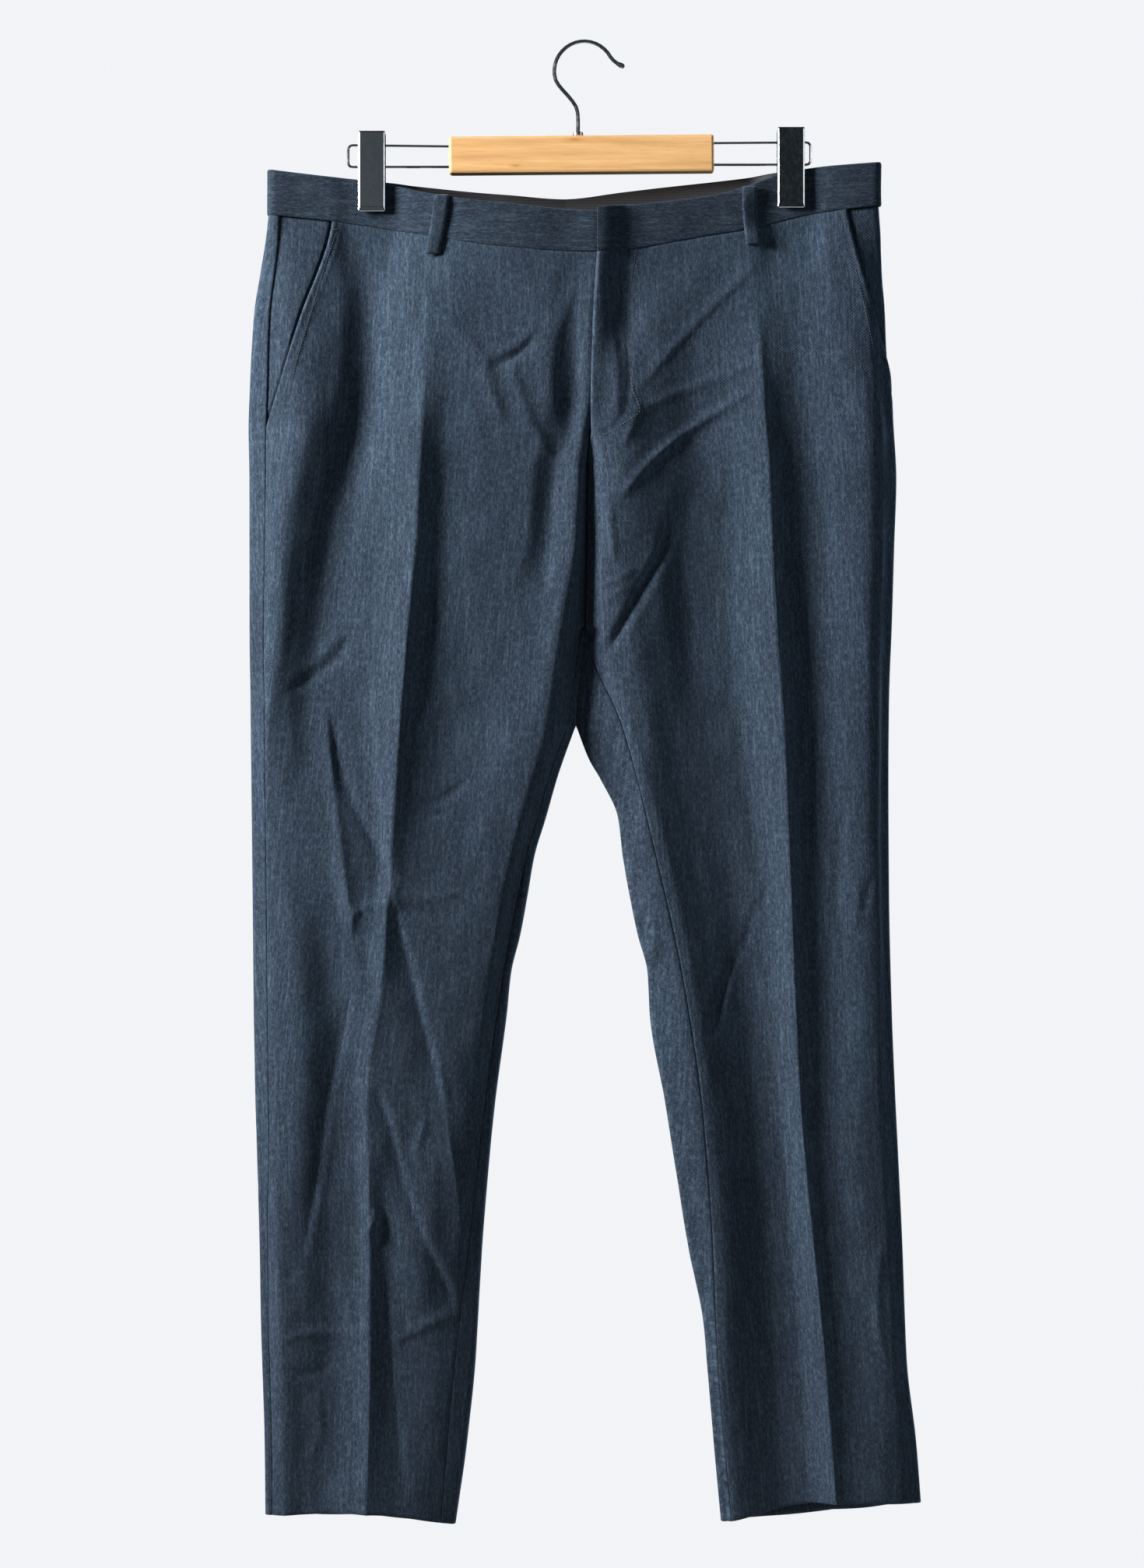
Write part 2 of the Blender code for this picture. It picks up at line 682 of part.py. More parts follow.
def depth_on(path, x):
    """Forward depth of a front's polyline at x."""
    for before, after in zip(path, path[1:]):
        if min(before.x, after.x) <= x <= max(before.x, after.x):
            return -blend(before.y, after.y, (x - before.x) / (after.x - before.x))
    return -path[0].y


def add_object(name, mesh, material, collection):
    mesh.materials.append(material)
    thing = bpy.data.objects.new(name, mesh)
    collection.objects.link(thing)
    return thing


def add_sheet(name, rows, thickness, material, collection, flip):
    """A cloth piece: a grid of points on its outer face, thickened inwards.

    A longer row below a shorter one starts a new stretch of cloth past its end.
    """
    mesh = bpy.data.meshes.new(name)
    grid = bmesh.new()
    lattice = [[grid.verts.new(point * MM) for point in row] for row in rows]
    for upper, lower in zip(lattice, lattice[1:]):
        for i in range(min(len(upper), len(lower)) - 1):
            corners = [upper[i], upper[i + 1], lower[i + 1], lower[i]]
            grid.faces.new(corners[::-1] if flip else corners)
    grid.to_mesh(mesh)
    grid.free()
    mesh.shade_smooth()
    thing = add_object(name, mesh, material, collection)
    wall = thing.modifiers.new("wall", "SOLIDIFY")
    wall.thickness = thickness * MM
    wall.offset = -1.0
    return thing


def pocket_mouth(half, path, seam_at):
    """Distance along the ring from the side seam to the edge of the pocket mouth."""
    top = half.waist_seam["front"](half.sign * half.edge(WAIST))
    fallen = (top - path[seam_at].z) / (top - POCKET_END)
    return POCKET_WIDTH * (1.0 - min(max(fallen, 0.0), 1.0) ** POCKET_BEND)


def build_half(half, materials, collection):
    """Front, back and pocket facing of one half."""
    hollow_at = {"right": 9, "left": 8}[half.side]
    facing_from = {"right": 1, "left": 3}[half.side]
    exposed = {"right": 3, "left": 7}[half.side]
    fronts = []
    backs = []
    facings = []
    for z in HIP_ROWS + LEG_ROWS:
        path, seam_at = half.ring(float(z))
        front = path[: seam_at + 1]
        back = path[seam_at:]
        room = seam_room(path[seam_at - 1], path[seam_at], path[seam_at + 1])
        mouth = max(pocket_mouth(half, path, seam_at), room)
        beside = shortened(front[hollow_at:], mouth)
        if z >= FLY_END:
            way_out = path[path.index(front[hollow_at]): seam_at + 4]
            start = path_length(front[hollow_at:]) - mouth
            end = path_length(front[hollow_at:]) + FACING_PAST_SEAM
            steps = [blend(start, end, i / exposed) for i in range(1, exposed + 1)]
            facing = beside[facing_from:] + [point_along(way_out, step) for step in steps]
            facings.append(shifted(facing, half.sign, -CLOTH - FACING_GAP))
        front = front[:hollow_at] + beside
        back[0] = stepped(back, 0, 1, room)
        if z <= CROTCH:
            inseam_room = seam_room(back[-2], back[-1], front[1]) if z < CROTCH else SEAM_GAP + CLOTH
            back[-1] = stepped(back, -1, -2, inseam_room)
        if z < CROTCH:
            front[0] = stepped(front, 0, 1, inseam_room)
        fronts.append(front)
        backs.append(back)
    flip = half.sign > 0
    add_sheet("front_" + half.side, fronts, CLOTH, materials["wool"], collection, flip)
    add_sheet("back_" + half.side, backs, CLOTH, materials["wool"], collection, flip)
    add_sheet("pocket_facing_" + half.side, facings, LINING_CLOTH, materials["wool"], collection, flip)


def build_band(half, other, materials, collection):
    """Waistband of one half, and the lining inside its back."""
    path, seam_at = half.ring(WAIST)
    outside = shifted(path, half.sign, BAND_PROUD)
    if half.side == "right":
        tab, _ = other.ring(WAIST)
        behind = BAND_CLOTH - BAND_PROUD + SEAM_GAP
        start = path[0].x + UNDERLAP_CLEAR
        covered = [UNDERLAP_END] + [point.x for point in reversed(tab) if start < point.x < UNDERLAP_END]
        underlap = [Vector((x, behind - depth_on(tab, x), 0.0)) for x in covered]
        outside = underlap + outside
    rows = []
    for share in (1.0, 0.5, 0.0):
        row = []
        for point in outside:
            face = "front" if point.y < 0.0 else "back"
            foot = half.waist_seam[face](point.x) + SEAM_GAP
            height = blend(foot, half.band_top[face](point.x), share)
            row.append(Vector((point.x, point.y, height)))
        rows.append(row)
    add_sheet("waistband_" + half.side, rows, BAND_CLOTH, materials["wool"], collection, half.sign > 0)
    inside = shifted(path, half.sign, BAND_PROUD - BAND_CLOTH - SEAM_GAP)[-5:]
    inside[-1] = stepped(inside, -1, -2, SEAM_GAP)
    rows = []
    for share in (0.96, 0.4, -0.15):
        row = []
        for point in inside:
            foot = half.waist_seam["back"](point.x)
            height = blend(foot, half.band_top["back"](point.x), share)
            row.append(Vector((point.x, point.y, height)))
        rows.append(row)
    add_sheet("lining_" + half.side, rows, LINING_CLOTH, materials["lining"], collection, half.sign > 0)


def build_fly_part(name, half, heights, behind, reach, columns, thickness, material, collection):
    """A strip behind the left front's edge, following its face."""
    rows = []
    for z in heights:
        path, _ = half.ring(z)
        start = path[0].x
        row = []
        for index in range(columns):
            x = start + blend(reach[0], reach[1], index / (columns - 1))
            row.append(Vector((x, behind - depth_on(path, x), min(half.height("front", x, z), FLY_TOP))))
        rows.append(row)
    rows[0] = [Vector((point.x, point.y, FLY_TOP)) for point in rows[0]]
    add_sheet(name, rows, thickness, material, collection, True)


def build_loop(name, halves, wool, collection):
    """A belt loop: a flat strip that stands off the band and is sewn down at both ends."""
    side, face, top, foot = LOOPS[name]
    half = halves[side]
    forward = -1.0 if face == "front" else 1.0
    depth_at = half.front_depth if face == "front" else half.back_depth_at
    rows = []
    for share, drop, standoff in (
        (0.0, 0.0, LOOP_END_STANDOFF),
        (0.0, LOOP_BEND, LOOP_STANDOFF),
        (0.5, 0.0, LOOP_STANDOFF),
        (1.0, -LOOP_BEND, LOOP_STANDOFF),
        (1.0, 0.0, LOOP_END_STANDOFF),
    ):
        centre = blend(top[0], foot[0], share)
        z = blend(top[1], foot[1], share) - drop
        across = [centre - LOOP_WIDTH / 2, centre, centre + LOOP_WIDTH / 2]
        depth = 0.0
        for x in across:
            nominal = min(z - half.waist_seam[face](x) + WAIST, WAIST)
            depth = max(depth, depth_at(half.sign * x, nominal) + BAND_PROUD + standoff)
        rows.append([Vector((x, forward * depth, z)) for x in across])
    add_sheet(name, rows, LOOP_CLOTH, wool, collection, face == "back")


def make_box(name, size, middle, tilt, bevel, material, collection):
    mesh = bpy.data.meshes.new(name)
    block = bmesh.new()
    bmesh.ops.create_cube(block, size=1.0)
    bmesh.ops.scale(block, vec=Vector(size) * MM, verts=block.verts)
    block.to_mesh(mesh)
    block.free()
    thing = add_object(name, mesh, material, collection)
    thing.location = Vector(middle) * MM
    thing.rotation_euler = (0.0, -tilt, 0.0)
    edge = thing.modifiers.new("edge", "BEVEL")
    edge.width = bevel * MM
    edge.segments = 2
    return thing


def make_wire(name, points, radius, material, collection, radii=None):
    """A round wire along points in the plane y = 0."""
    curve = bpy.data.curves.new(name, "CURVE")
    curve.dimensions = "3D"
    curve.bevel_depth = radius * MM
    curve.bevel_resolution = 2
    curve.use_fill_caps = True
    line = curve.splines.new("POLY")
    line.points.add(len(points) - 1)
    line.use_smooth = True
    for index, (x, z) in enumerate(points):
        line.points[index].co = (x * MM, 0.0, z * MM, 1.0)
        line.points[index].radius = radii[index] if radii else 1.0
    curve.materials.append(material)
    thing = bpy.data.objects.new(name, curve)
    collection.objects.link(thing)
    return thing


def make_bore(name, start, end, radius, cutters):
    """A round cutter between two points of the plane y = 0."""
    way = Vector((end[0] - start[0], 0.0, end[1] - start[1]))
    mesh = bpy.data.meshes.new(name)
    rod = bmesh.new()
    bmesh.ops.create_cone(
        rod, cap_ends=True, segments=16, radius1=radius * MM, radius2=radius * MM, depth=way.length * MM
    )
    rod.to_mesh(mesh)
    rod.free()
    thing = bpy.data.objects.new(name, mesh)
    cutters.objects.link(thing)
    thing.location = Vector(((start[0] + end[0]) / 2, 0.0, (start[1] + end[1]) / 2)) * MM
    thing.rotation_euler = way.to_track_quat("Z", "Y").to_euler()
    thing.hide_render = True
    thing.display_type = "WIRE"
    return thing


def cut(thing, cutter):
    hole = thing.modifiers.new(cutter.name, "BOOLEAN")
    hole.operation = "DIFFERENCE"
    hole.solver = "EXACT"
    hole.object = cutter


def rounded(points, radius):
    """A bent path's points with each corner replaced by a short arc."""
    path = [points[0]]
    for before, corner, after in zip(points, points[1:], points[2:]):
        here = Vector(corner)
        start = here + (Vector(before) - here).normalized() * radius
        end = here + (Vector(after) - here).normalized() * radius
        for step in range(5):
            t = step / 4
            spot = start * (1 - t) ** 2 + here * 2 * t * (1 - t) + end * t * t
            path.append(tuple(spot))
    path.append(points[-1])
    return path


def bar_surface(x):
    """Height of the bar's top at x."""
    return BAR_CENTRE[1] + BAR_HEIGHT / 2 + (x - BAR_CENTRE[0]) * math.tan(BAR_TILT)


def build_hanger(materials, collection, cutters):
    size = (BAR_LENGTH, BAR_DEPTH, BAR_HEIGHT)
    middle = (BAR_CENTRE[0], 0.0, BAR_CENTRE[1])
    bar = make_box("bar", size, middle, BAR_TILT, 2.0, materials["wood"], collection)
    for side, (bend_x, bend_heights, bar_heights) in ARMS.items():
        way = -1.0 if side == "right" else 1.0
        bar_end = BAR_CENTRE[0] + way * BAR_LENGTH / 2
        socket = bar_end - way * SOCKET_DEPTH
        upper = (socket, bar_heights[0])
        lower = (socket, bar_heights[1])
        corners = [upper, (bend_x, bend_heights[0]), (bend_x, bend_heights[1]), lower]
        make_wire("arm_" + side, rounded(corners, 4.0), WIRE_RADIUS, materials["chrome"], collection)
        for level, z, bend_z in zip(("upper", "lower"), bar_heights, bend_heights):
            slope = (bend_z - z) / (bend_x - socket)
            start = (socket - way * SOCKET_CLEARANCE, z - way * SOCKET_CLEARANCE * slope)
            end = (bar_end + way * SOCKET_DEPTH, z + 2 * way * SOCKET_DEPTH * slope)
            name = "bore_" + side + "_" + level
            cut(bar, make_bore(name, start, end, WIRE_RADIUS + SOCKET_CLEARANCE, cutters))
    top = bar_surface(STEM_X)
    stem_end = top - SOCKET_DEPTH
    stem_bore = make_bore(
        "bore_stem",
        (STEM_X, stem_end - SOCKET_CLEARANCE),
        (STEM_X, top + SOCKET_DEPTH),
        HOOK_WIRE_RADIUS + SOCKET_CLEARANCE,
        cutters,
    )
    cut(bar, stem_bore)
    crown = HOOK_WIRE_RADIUS - HOOK_RADIUS
    arc = []
    for step in range(17):
        angle = math.radians(blend(HOOK_ARC[0], HOOK_ARC[1], step / 16))
        arc.append((HOOK_RADIUS * math.cos(angle), crown + HOOK_RADIUS * math.sin(angle)))
    points = list(HOOK_TIP) + arc + list(HOOK_NECK) + [(STEM_X, top), (STEM_X, stem_end)]
    radii = list(HOOK_TIP_THICKNESS) + [1.0] * (len(points) - len(HOOK_TIP_THICKNESS))
    make_wire("hook", points, HOOK_WIRE_RADIUS, materials["chrome"], collection, radii)
    collar = bpy.data.meshes.new("hook_collar")
    ring = bmesh.new()
    bmesh.ops.create_cone(
        ring, cap_ends=True, segments=24, radius1=COLLAR_RADIUS * MM, radius2=COLLAR_RADIUS * MM,
        depth=COLLAR_HEIGHT * MM,
    )
    ring.to_mesh(collar)
    ring.free()
    collar_thing = add_object("hook_collar", collar, materials["chrome"], collection)
    collar_thing.location = Vector((STEM_X, 0.0, top + SEAM_GAP + COLLAR_HEIGHT / 2)) * MM
    edge = collar_thing.modifiers.new("edge", "BEVEL")
    edge.width = 0.5 * MM
    edge.segments = 2
    cut(collar_thing, stem_bore)


def build_clip(side, materials, collection):
    middle_x, top = CLIPS[side]
    base = "clip_" + side
    plate_size = (CLIP_WIDTH, CLIP_PLATE, CLIP_HEIGHT)
    pad_z = top - CLIP_HEIGHT + PAD_RISE + PAD_SIZE[2] / 2
    for face, forward in (("front", -1.0), ("back", 1.0)):
        plate_y = forward * (CLIP_INSIDE + CLIP_PLATE / 2)
        middle = (middle_x, plate_y, top - CLIP_HEIGHT / 2)
        make_box(base + "_plate_" + face, plate_size, middle, 0.0, 0.8, materials["chrome"], collection)
        pad_y = forward * (CLIP_INSIDE - LAYER_GAP - PAD_SIZE[1] / 2)
        middle = (middle_x, pad_y, pad_z)
        make_box(base + "_pad_" + face, PAD_SIZE, middle, 0.0, 0.4, materials["rubber"], collection)
    front_side = [(-y, top - fall) for y, fall in SPRING]
    back_side = [(y, top - fall) for y, fall in reversed(SPRING)]
    profile = front_side + back_side[1:]
    rows = [[Vector((middle_x + across, y, z)) for across in (-6.0, 6.0)] for y, z in profile]
    add_sheet(base + "_spring", rows, SPRING_METAL, materials["chrome"], collection, False)


def build():
    clear_scene()
    collection = make_collection("chinos")
    cutters = make_collection("cutters")
    cutters.hide_render = True
    materials = {name: make_material(name) for name in COLOURS}
    right = Half("right", -1.0, FRONT_RIGHT_LINES, FRONT_RIGHT, WAIST_FRONT_RIGHT)
    left = Half("left", 1.0, FRONT_LEFT_LINES, FRONT_LEFT, WAIST_FRONT_LEFT)
    halves = {"right": right, "left": left}
    for half, other in ((right, left), (left, right)):
        build_half(half, materials, collection)
        build_band(half, other, materials, collection)
    shield = (SHIELD_ROWS, SHIELD_BEHIND, SHIELD_REACH, 5, LINING_CLOTH)
    build_fly_part("fly_shield", left, *shield, materials["wool"], collection)
    zip_strip = (ZIP_ROWS, ZIP_BEHIND, ZIP_REACH, 3, ZIP_CLOTH)
    build_fly_part("fly_zip", left, *zip_strip, materials["zip"], collection)
    for name in LOOPS:
        build_loop(name, halves, materials["wool"], collection)
    build_hanger(materials, collection, cutters)
    for side in CLIPS:
        build_clip(side, materials, collection)


build()
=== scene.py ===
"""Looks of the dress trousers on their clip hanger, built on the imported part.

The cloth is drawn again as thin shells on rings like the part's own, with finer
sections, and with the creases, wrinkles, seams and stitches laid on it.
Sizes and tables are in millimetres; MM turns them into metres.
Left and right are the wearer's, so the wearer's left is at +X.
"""

import math

import bmesh
import bpy
import numpy as np
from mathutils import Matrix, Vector
from mathutils.bvhtree import BVHTree

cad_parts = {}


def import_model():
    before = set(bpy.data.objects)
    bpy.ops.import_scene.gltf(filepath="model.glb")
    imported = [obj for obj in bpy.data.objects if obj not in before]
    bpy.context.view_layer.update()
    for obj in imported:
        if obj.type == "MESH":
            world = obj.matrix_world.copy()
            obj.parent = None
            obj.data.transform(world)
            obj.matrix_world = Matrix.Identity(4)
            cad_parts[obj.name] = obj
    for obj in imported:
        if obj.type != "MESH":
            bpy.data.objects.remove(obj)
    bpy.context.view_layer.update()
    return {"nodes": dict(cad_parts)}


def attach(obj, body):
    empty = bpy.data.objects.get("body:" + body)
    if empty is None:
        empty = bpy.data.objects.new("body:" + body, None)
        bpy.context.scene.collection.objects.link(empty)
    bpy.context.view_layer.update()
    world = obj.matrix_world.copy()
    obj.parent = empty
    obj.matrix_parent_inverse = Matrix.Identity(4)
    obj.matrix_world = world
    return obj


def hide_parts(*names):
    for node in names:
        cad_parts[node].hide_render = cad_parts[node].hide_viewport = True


MM = 0.001
SIDES = ("right", "left")
FORWARD = {"front": -1.0, "back": 1.0}

# Cloth
CLOTH = 0.9
BAND_CLOTH = 1.8
LINING_CLOTH = 0.8
SEAM_DIP = 0.7
SEAM_HALF_WIDTH = 1.6
# How far the side seam is drawn from its line: the left one lies flat
SIDE_SEAM_SOFT = {"right": 0.0, "left": 1.3}
FOLD_RADIUS = 5.0
HALF_GAP = -0.1
BAND_PROUD = 0.7
# The pocket mouth's folded edge, its rolled rim and the dip under its stitches
MOUTH_PROUD = 0.8
MOUTH_PROUD_WIDTH = 10.0
MOUTH_ROLL = 1.5
MOUTH_ROLL_WIDTH = 1.7
MOUTH_STITCH = 5.0
STITCH_DIP = 0.45
STITCH_DIP_WIDTH = 1.3
FLY_PROUD = 0.5
FLY_PROUD_WIDTH = 9.0
FLY_EDGE = 1.3
FLY_EDGE_WIDTH = 1.7

# Relief: it fades out beside seams and where the cloth turns round an edge
RELIEF_SEAM_FADE = 8.0
RELIEF_START = 1.5
RELIEF_RISE = 5.0
FOLD_FOOT = 1.7
FOLD_ROUND = 1.6
FOLD_END = 5
FACET_END = 6
WAVE_HEIGHT = 0.35
SMALL_WAVE_HEIGHT = 0.16
BAND_RELIEF = 0.7
BAND_RELIEF_FADE = 10.0

# Heights of the nominal rows
WAIST = -165.0
LEVEL = -300.0
FLY_END = -316.0
CROTCH = -468.0
SADDLE_DROP = 80.0
SADDLE_FADE = 400.0
SADDLE_SETTLE = 32.0
INNER_FOLD_FULL = -570.0
INSEAM_SET_BACK = 1.5
HEM = -1180.0
HEM_LEVEL = -1100.0

# Pocket mouths, and the facings that dive under them
POCKET_WIDTH = 42.0
POCKET_END = -308.0
POCKET_BEND = 1.3
FACING_UNDERLAP = 12.0
FACING_BELOW_MOUTH = 4.0
FACING_PAST_SEAM = 2.0
FACING_BEHIND = 1.4
FACING_DIVE = 1.2
FACING_DIVE_WIDTH = 3.4
FACING_DIVE_SHARE = 0.6

# The grip of the clips on the cloth
GRIP = 1.6
GRIP_HALF_WIDTH = 11.0
GRIP_FADE = 22.0
GRIP_END = -168.0
GRIP_END_FADE = 47.0

# Points along a ring: on each flat run, round the side, and round the leg's inner edge
FLAT_POINTS = 90
SIDE_POINTS = 13
INNER_POINTS = 73
# Rows and columns of the cloth pieces; columns lie closer beside an edge that is turned in
HIP_ROWS = 102
LEG_ROWS = 238
FRONT_COLUMNS = 58
BACK_COLUMNS = 40
INSEAM_COLUMNS = 22
BAND_COLUMNS = 86
FACING_COLUMNS = (5, 7, 12)
EDGE_COLUMNS = (0.0, 0.5, 1.0, 1.7, 2.8)
# A distance from an edge that a row doesn't have
FAR = 99.0
# How much depth slants the grain on the strip round the leg's inner edge
INNER_GRAIN_SLANT = 0.6

# Turned-up hem: distance inwards, drop, and how many rows up it reaches
HEM_TURN = (
    (0.35, 0.35, 0),
    (1.0, 0.45, 0),
    (1.7, 0.1, 0),
    (2.1, 0.0, 1),
    (2.2, 0.0, 4),
    (2.2, 0.0, 8),
    (2.1, 0.0, 12),
)
BEHIND_BAND = 1.25
UP_BEHIND_BAND = 1.0

# Waistband: share of its height and distance outwards, from its turned top edge to its turned foot
BAND_PROFILE = (
    (1.0, -1.1), (1.0, -0.6), (0.985, -0.15), (0.96, 0.05), (0.93, 0.1), (0.85, 0.0), (0.75, 0.0),
    (0.64, 0.0), (0.53, 0.0), (0.42, 0.0), (0.31, 0.0), (0.2, 0.0), (0.12, 0.05), (0.06, 0.1),
    (0.025, 0.0), (0.0, -0.35), (0.0, -1.0),
)
BAND_OVER_SEAM = 0.3
LINING_SHARES = (
    0.97, 0.955, 0.93, 0.9, 0.86, 0.8, 0.7, 0.6, 0.5, 0.42, 0.395, 0.37, 0.3, 0.2, 0.1, 0.0, -0.1, -0.15,
)
LINING_BEHIND = 0.3
LINING_EDGE = 1.2
# The right half's underlap runs behind the left half's tab
UNDERLAP_END = 45.0
UNDERLAP_CLEAR = 8.0
UNDERLAP_BEHIND = 0.4

# Belt loops: side, face, x and z at the top, at the foot, sideways bow, twist
LOOPS = {
    "loop_front_right": ("right", "front", (-113.6, -125.6), (-121.3, -170.5), 0.6, 0.4),
    "loop_front_left": ("left", "front", (132.4, -117.0), (135.2, -161.5), -0.8, -1.6),
    "loop_back_right": ("right", "back", (-138.0, -115.5), (-138.0, -162.5), 0.4, 0.3),
    "loop_back_left": ("left", "back", (124.0, -109.5), (124.0, -156.5), -0.5, -0.4),
    "loop_back_centre": ("right", "back", (-16.9, -122.5), (-16.9, -169.5), 0.3, 0.2),
}
LOOP_WIDTH = 10.0
# How far a loop stands off the band in its middle, and at its sewn ends, which are tucked in
LOOP_STANDOFF = 2.1
LOOP_SEWN = 1.6
LOOP_TUCK = 0.6
LOOP_END_DROP = 0.5
# Shares of its length over which a loop rises from the band at the top and at the foot
LOOP_RISE_TOP = 0.14
LOOP_RISE_FOOT = 0.12
LOOP_WOBBLE = 0.04
LOOP_GRAIN_SHIFT = 3.0
LOOP_SHARES = (
    -0.01, 0.0, 0.02, 0.05, 0.09, 0.14, 0.2, 0.28, 0.36, 0.44, 0.52,
    0.6, 0.68, 0.76, 0.83, 0.88, 0.92, 0.955, 0.98, 1.0, 1.01,
)
# Across a loop: share of its half width, and how far the cloth is sunk there
LOOP_SECTION = (
    (-1.0, 1.5), (-1.0, 0.7), (-0.96, 0.25), (-0.86, 0.0), (-0.6, 0.0), (-0.2, -0.1),
    (0.2, -0.1), (0.6, 0.0), (0.86, 0.0), (0.96, 0.25), (1.0, 0.7), (1.0, 1.5),
)

# Clips: x of the middle and z of the top
CLIPS = {"right": (-170.3, -71.6), "left": (165.8, -68.5)}
CLIP_WIDTH = 21.5
CLIP_HEIGHT = 64.5
# A plate's profile: inset from the outline, distance from the middle plane, rise of the lower edge's ledge
PLATE_PROFILE = (
    (0.0, 5.05, 0.0),
    (0.0, 6.5, 0.0),
    (0.15, 6.72, 0.0),
    (0.3, 6.8, 0.0),
    (0.35, 6.84, 0.0),
    (0.45, 6.9, 0.0),
    (1.15, 7.33, 2.3),
    (1.35, 7.4, 2.4),
    (1.5, 7.36, 2.5),
)
PLATE_CORNER = 0.9
PLATE_BEVEL = 0.12

# A stitch: share of its length with the thickness there, and the section's corners (across, up)
STITCH_PROFILE = ((-0.5, 0.35), (-0.28, 1.0), (0.28, 1.0), (0.5, 0.35))
STITCH_SECTION = ((1.0, 0.0), (0.0, 1.0), (-1.0, 0.0), (0.0, -0.8))
STITCH_LIFT = 0.32
# How far off a ray onto the cloth starts, in metres
RAY_START = 0.3

# Wooden bar: knots as middle and size, in metres
WOOD_KNOTS = (
    ((-0.008, -0.0065, -0.0785), (0.012, 0.02, 0.0035)),
    ((-0.055, -0.0065, -0.0995), (0.008, 0.02, 0.0022)),
)

# Colours
WOOL_DARK = (0.0055, 0.014, 0.0285)
WOOL_MID = (0.0345, 0.060, 0.100)
WOOL_LIGHT = (0.154, 0.222, 0.316)
WOOD_DARK = (0.60, 0.335, 0.135)
WOOD_MID = (0.745, 0.435, 0.185)
WOOD_LIGHT = (0.83, 0.515, 0.245)
CHROME = (0.78, 0.80, 0.83)
CLIP_CHROME = (0.34, 0.365, 0.40)
RUBBER = ((0.02, 0.02, 0.022), (0.04, 0.04, 0.043))
ZIP_TAPE = ((0.016, 0.022, 0.034), (0.03, 0.04, 0.056))
FLOOR_PAINT = ((0.78, 0.79, 0.80), (0.82, 0.83, 0.84))
WALL_COLOUR = (0.885, 0.9, 0.925)
ROOM_COLOUR = (0.70, 0.90, 1.0)
WHITE = (1.0, 1.0, 1.0)
WARM_WHITE = (1.0, 0.985, 0.965)
SKY_WHITE = (0.70, 0.91, 1.0)
CARD_WHITE = (0.9, 0.96, 1.0)

# Light, floor and camera, in metres
ROOM_LIGHT = 0.038
FLOOR_SIZE = 5.0
FLOOR_HEIGHT = -2.6
FLOOR_RIM = 0.08
FLOOR_RIM_RISE = 0.03
CAMERA_PLACE = (-0.0098, -2.6, -0.5944)
CAMERA_LENS = 74.4
# name, place, target, size, power, colour, and what it lights: "cloth" isn't seen in reflections,
# "metal" is seen in nothing else
LIGHTS = (
    ("key", (-2.47, -0.80, 0.65), (0.0, 0.0, 1.7), (0.7, 1.2), 340.0, WARM_WHITE, "all"),
    ("bounce", (2.7, -0.7, -0.1), (0.0, 0.0, 0.2), (1.6, 1.6), 15.0, SKY_WHITE, "cloth"),
    ("fill", (0.2, -3.0, 0.8), (0.0, 0.0, -0.4), (2.2, 2.2), 4.0, SKY_WHITE, "cloth"),
    ("back", (1.85, 2.0, 0.65), (0.0, 0.0, 1.2), (0.8, 1.2), 170.0, WHITE, "cloth"),
    ("card_back", (1.85, 2.0, 0.65), (0.0, 0.0, 1.2), (0.8, 1.2), 11.0, WHITE, "metal"),
    ("card_side", (1.86, -0.93, -0.1), (0.166, 0.0, -0.1), (0.8, 1.2), 9.0, WHITE, "metal"),
    ("card_low", (0.0, -0.95, -2.0), (0.0, 0.0, -0.13), (1.6, 0.8), 11.0, WHITE, "metal"),
    ("card_front", (-0.72, -3.0, 0.0), (-0.17, 0.0, -0.1), (0.95, 1.6), 0.9, CARD_WHITE, "metal"),
)
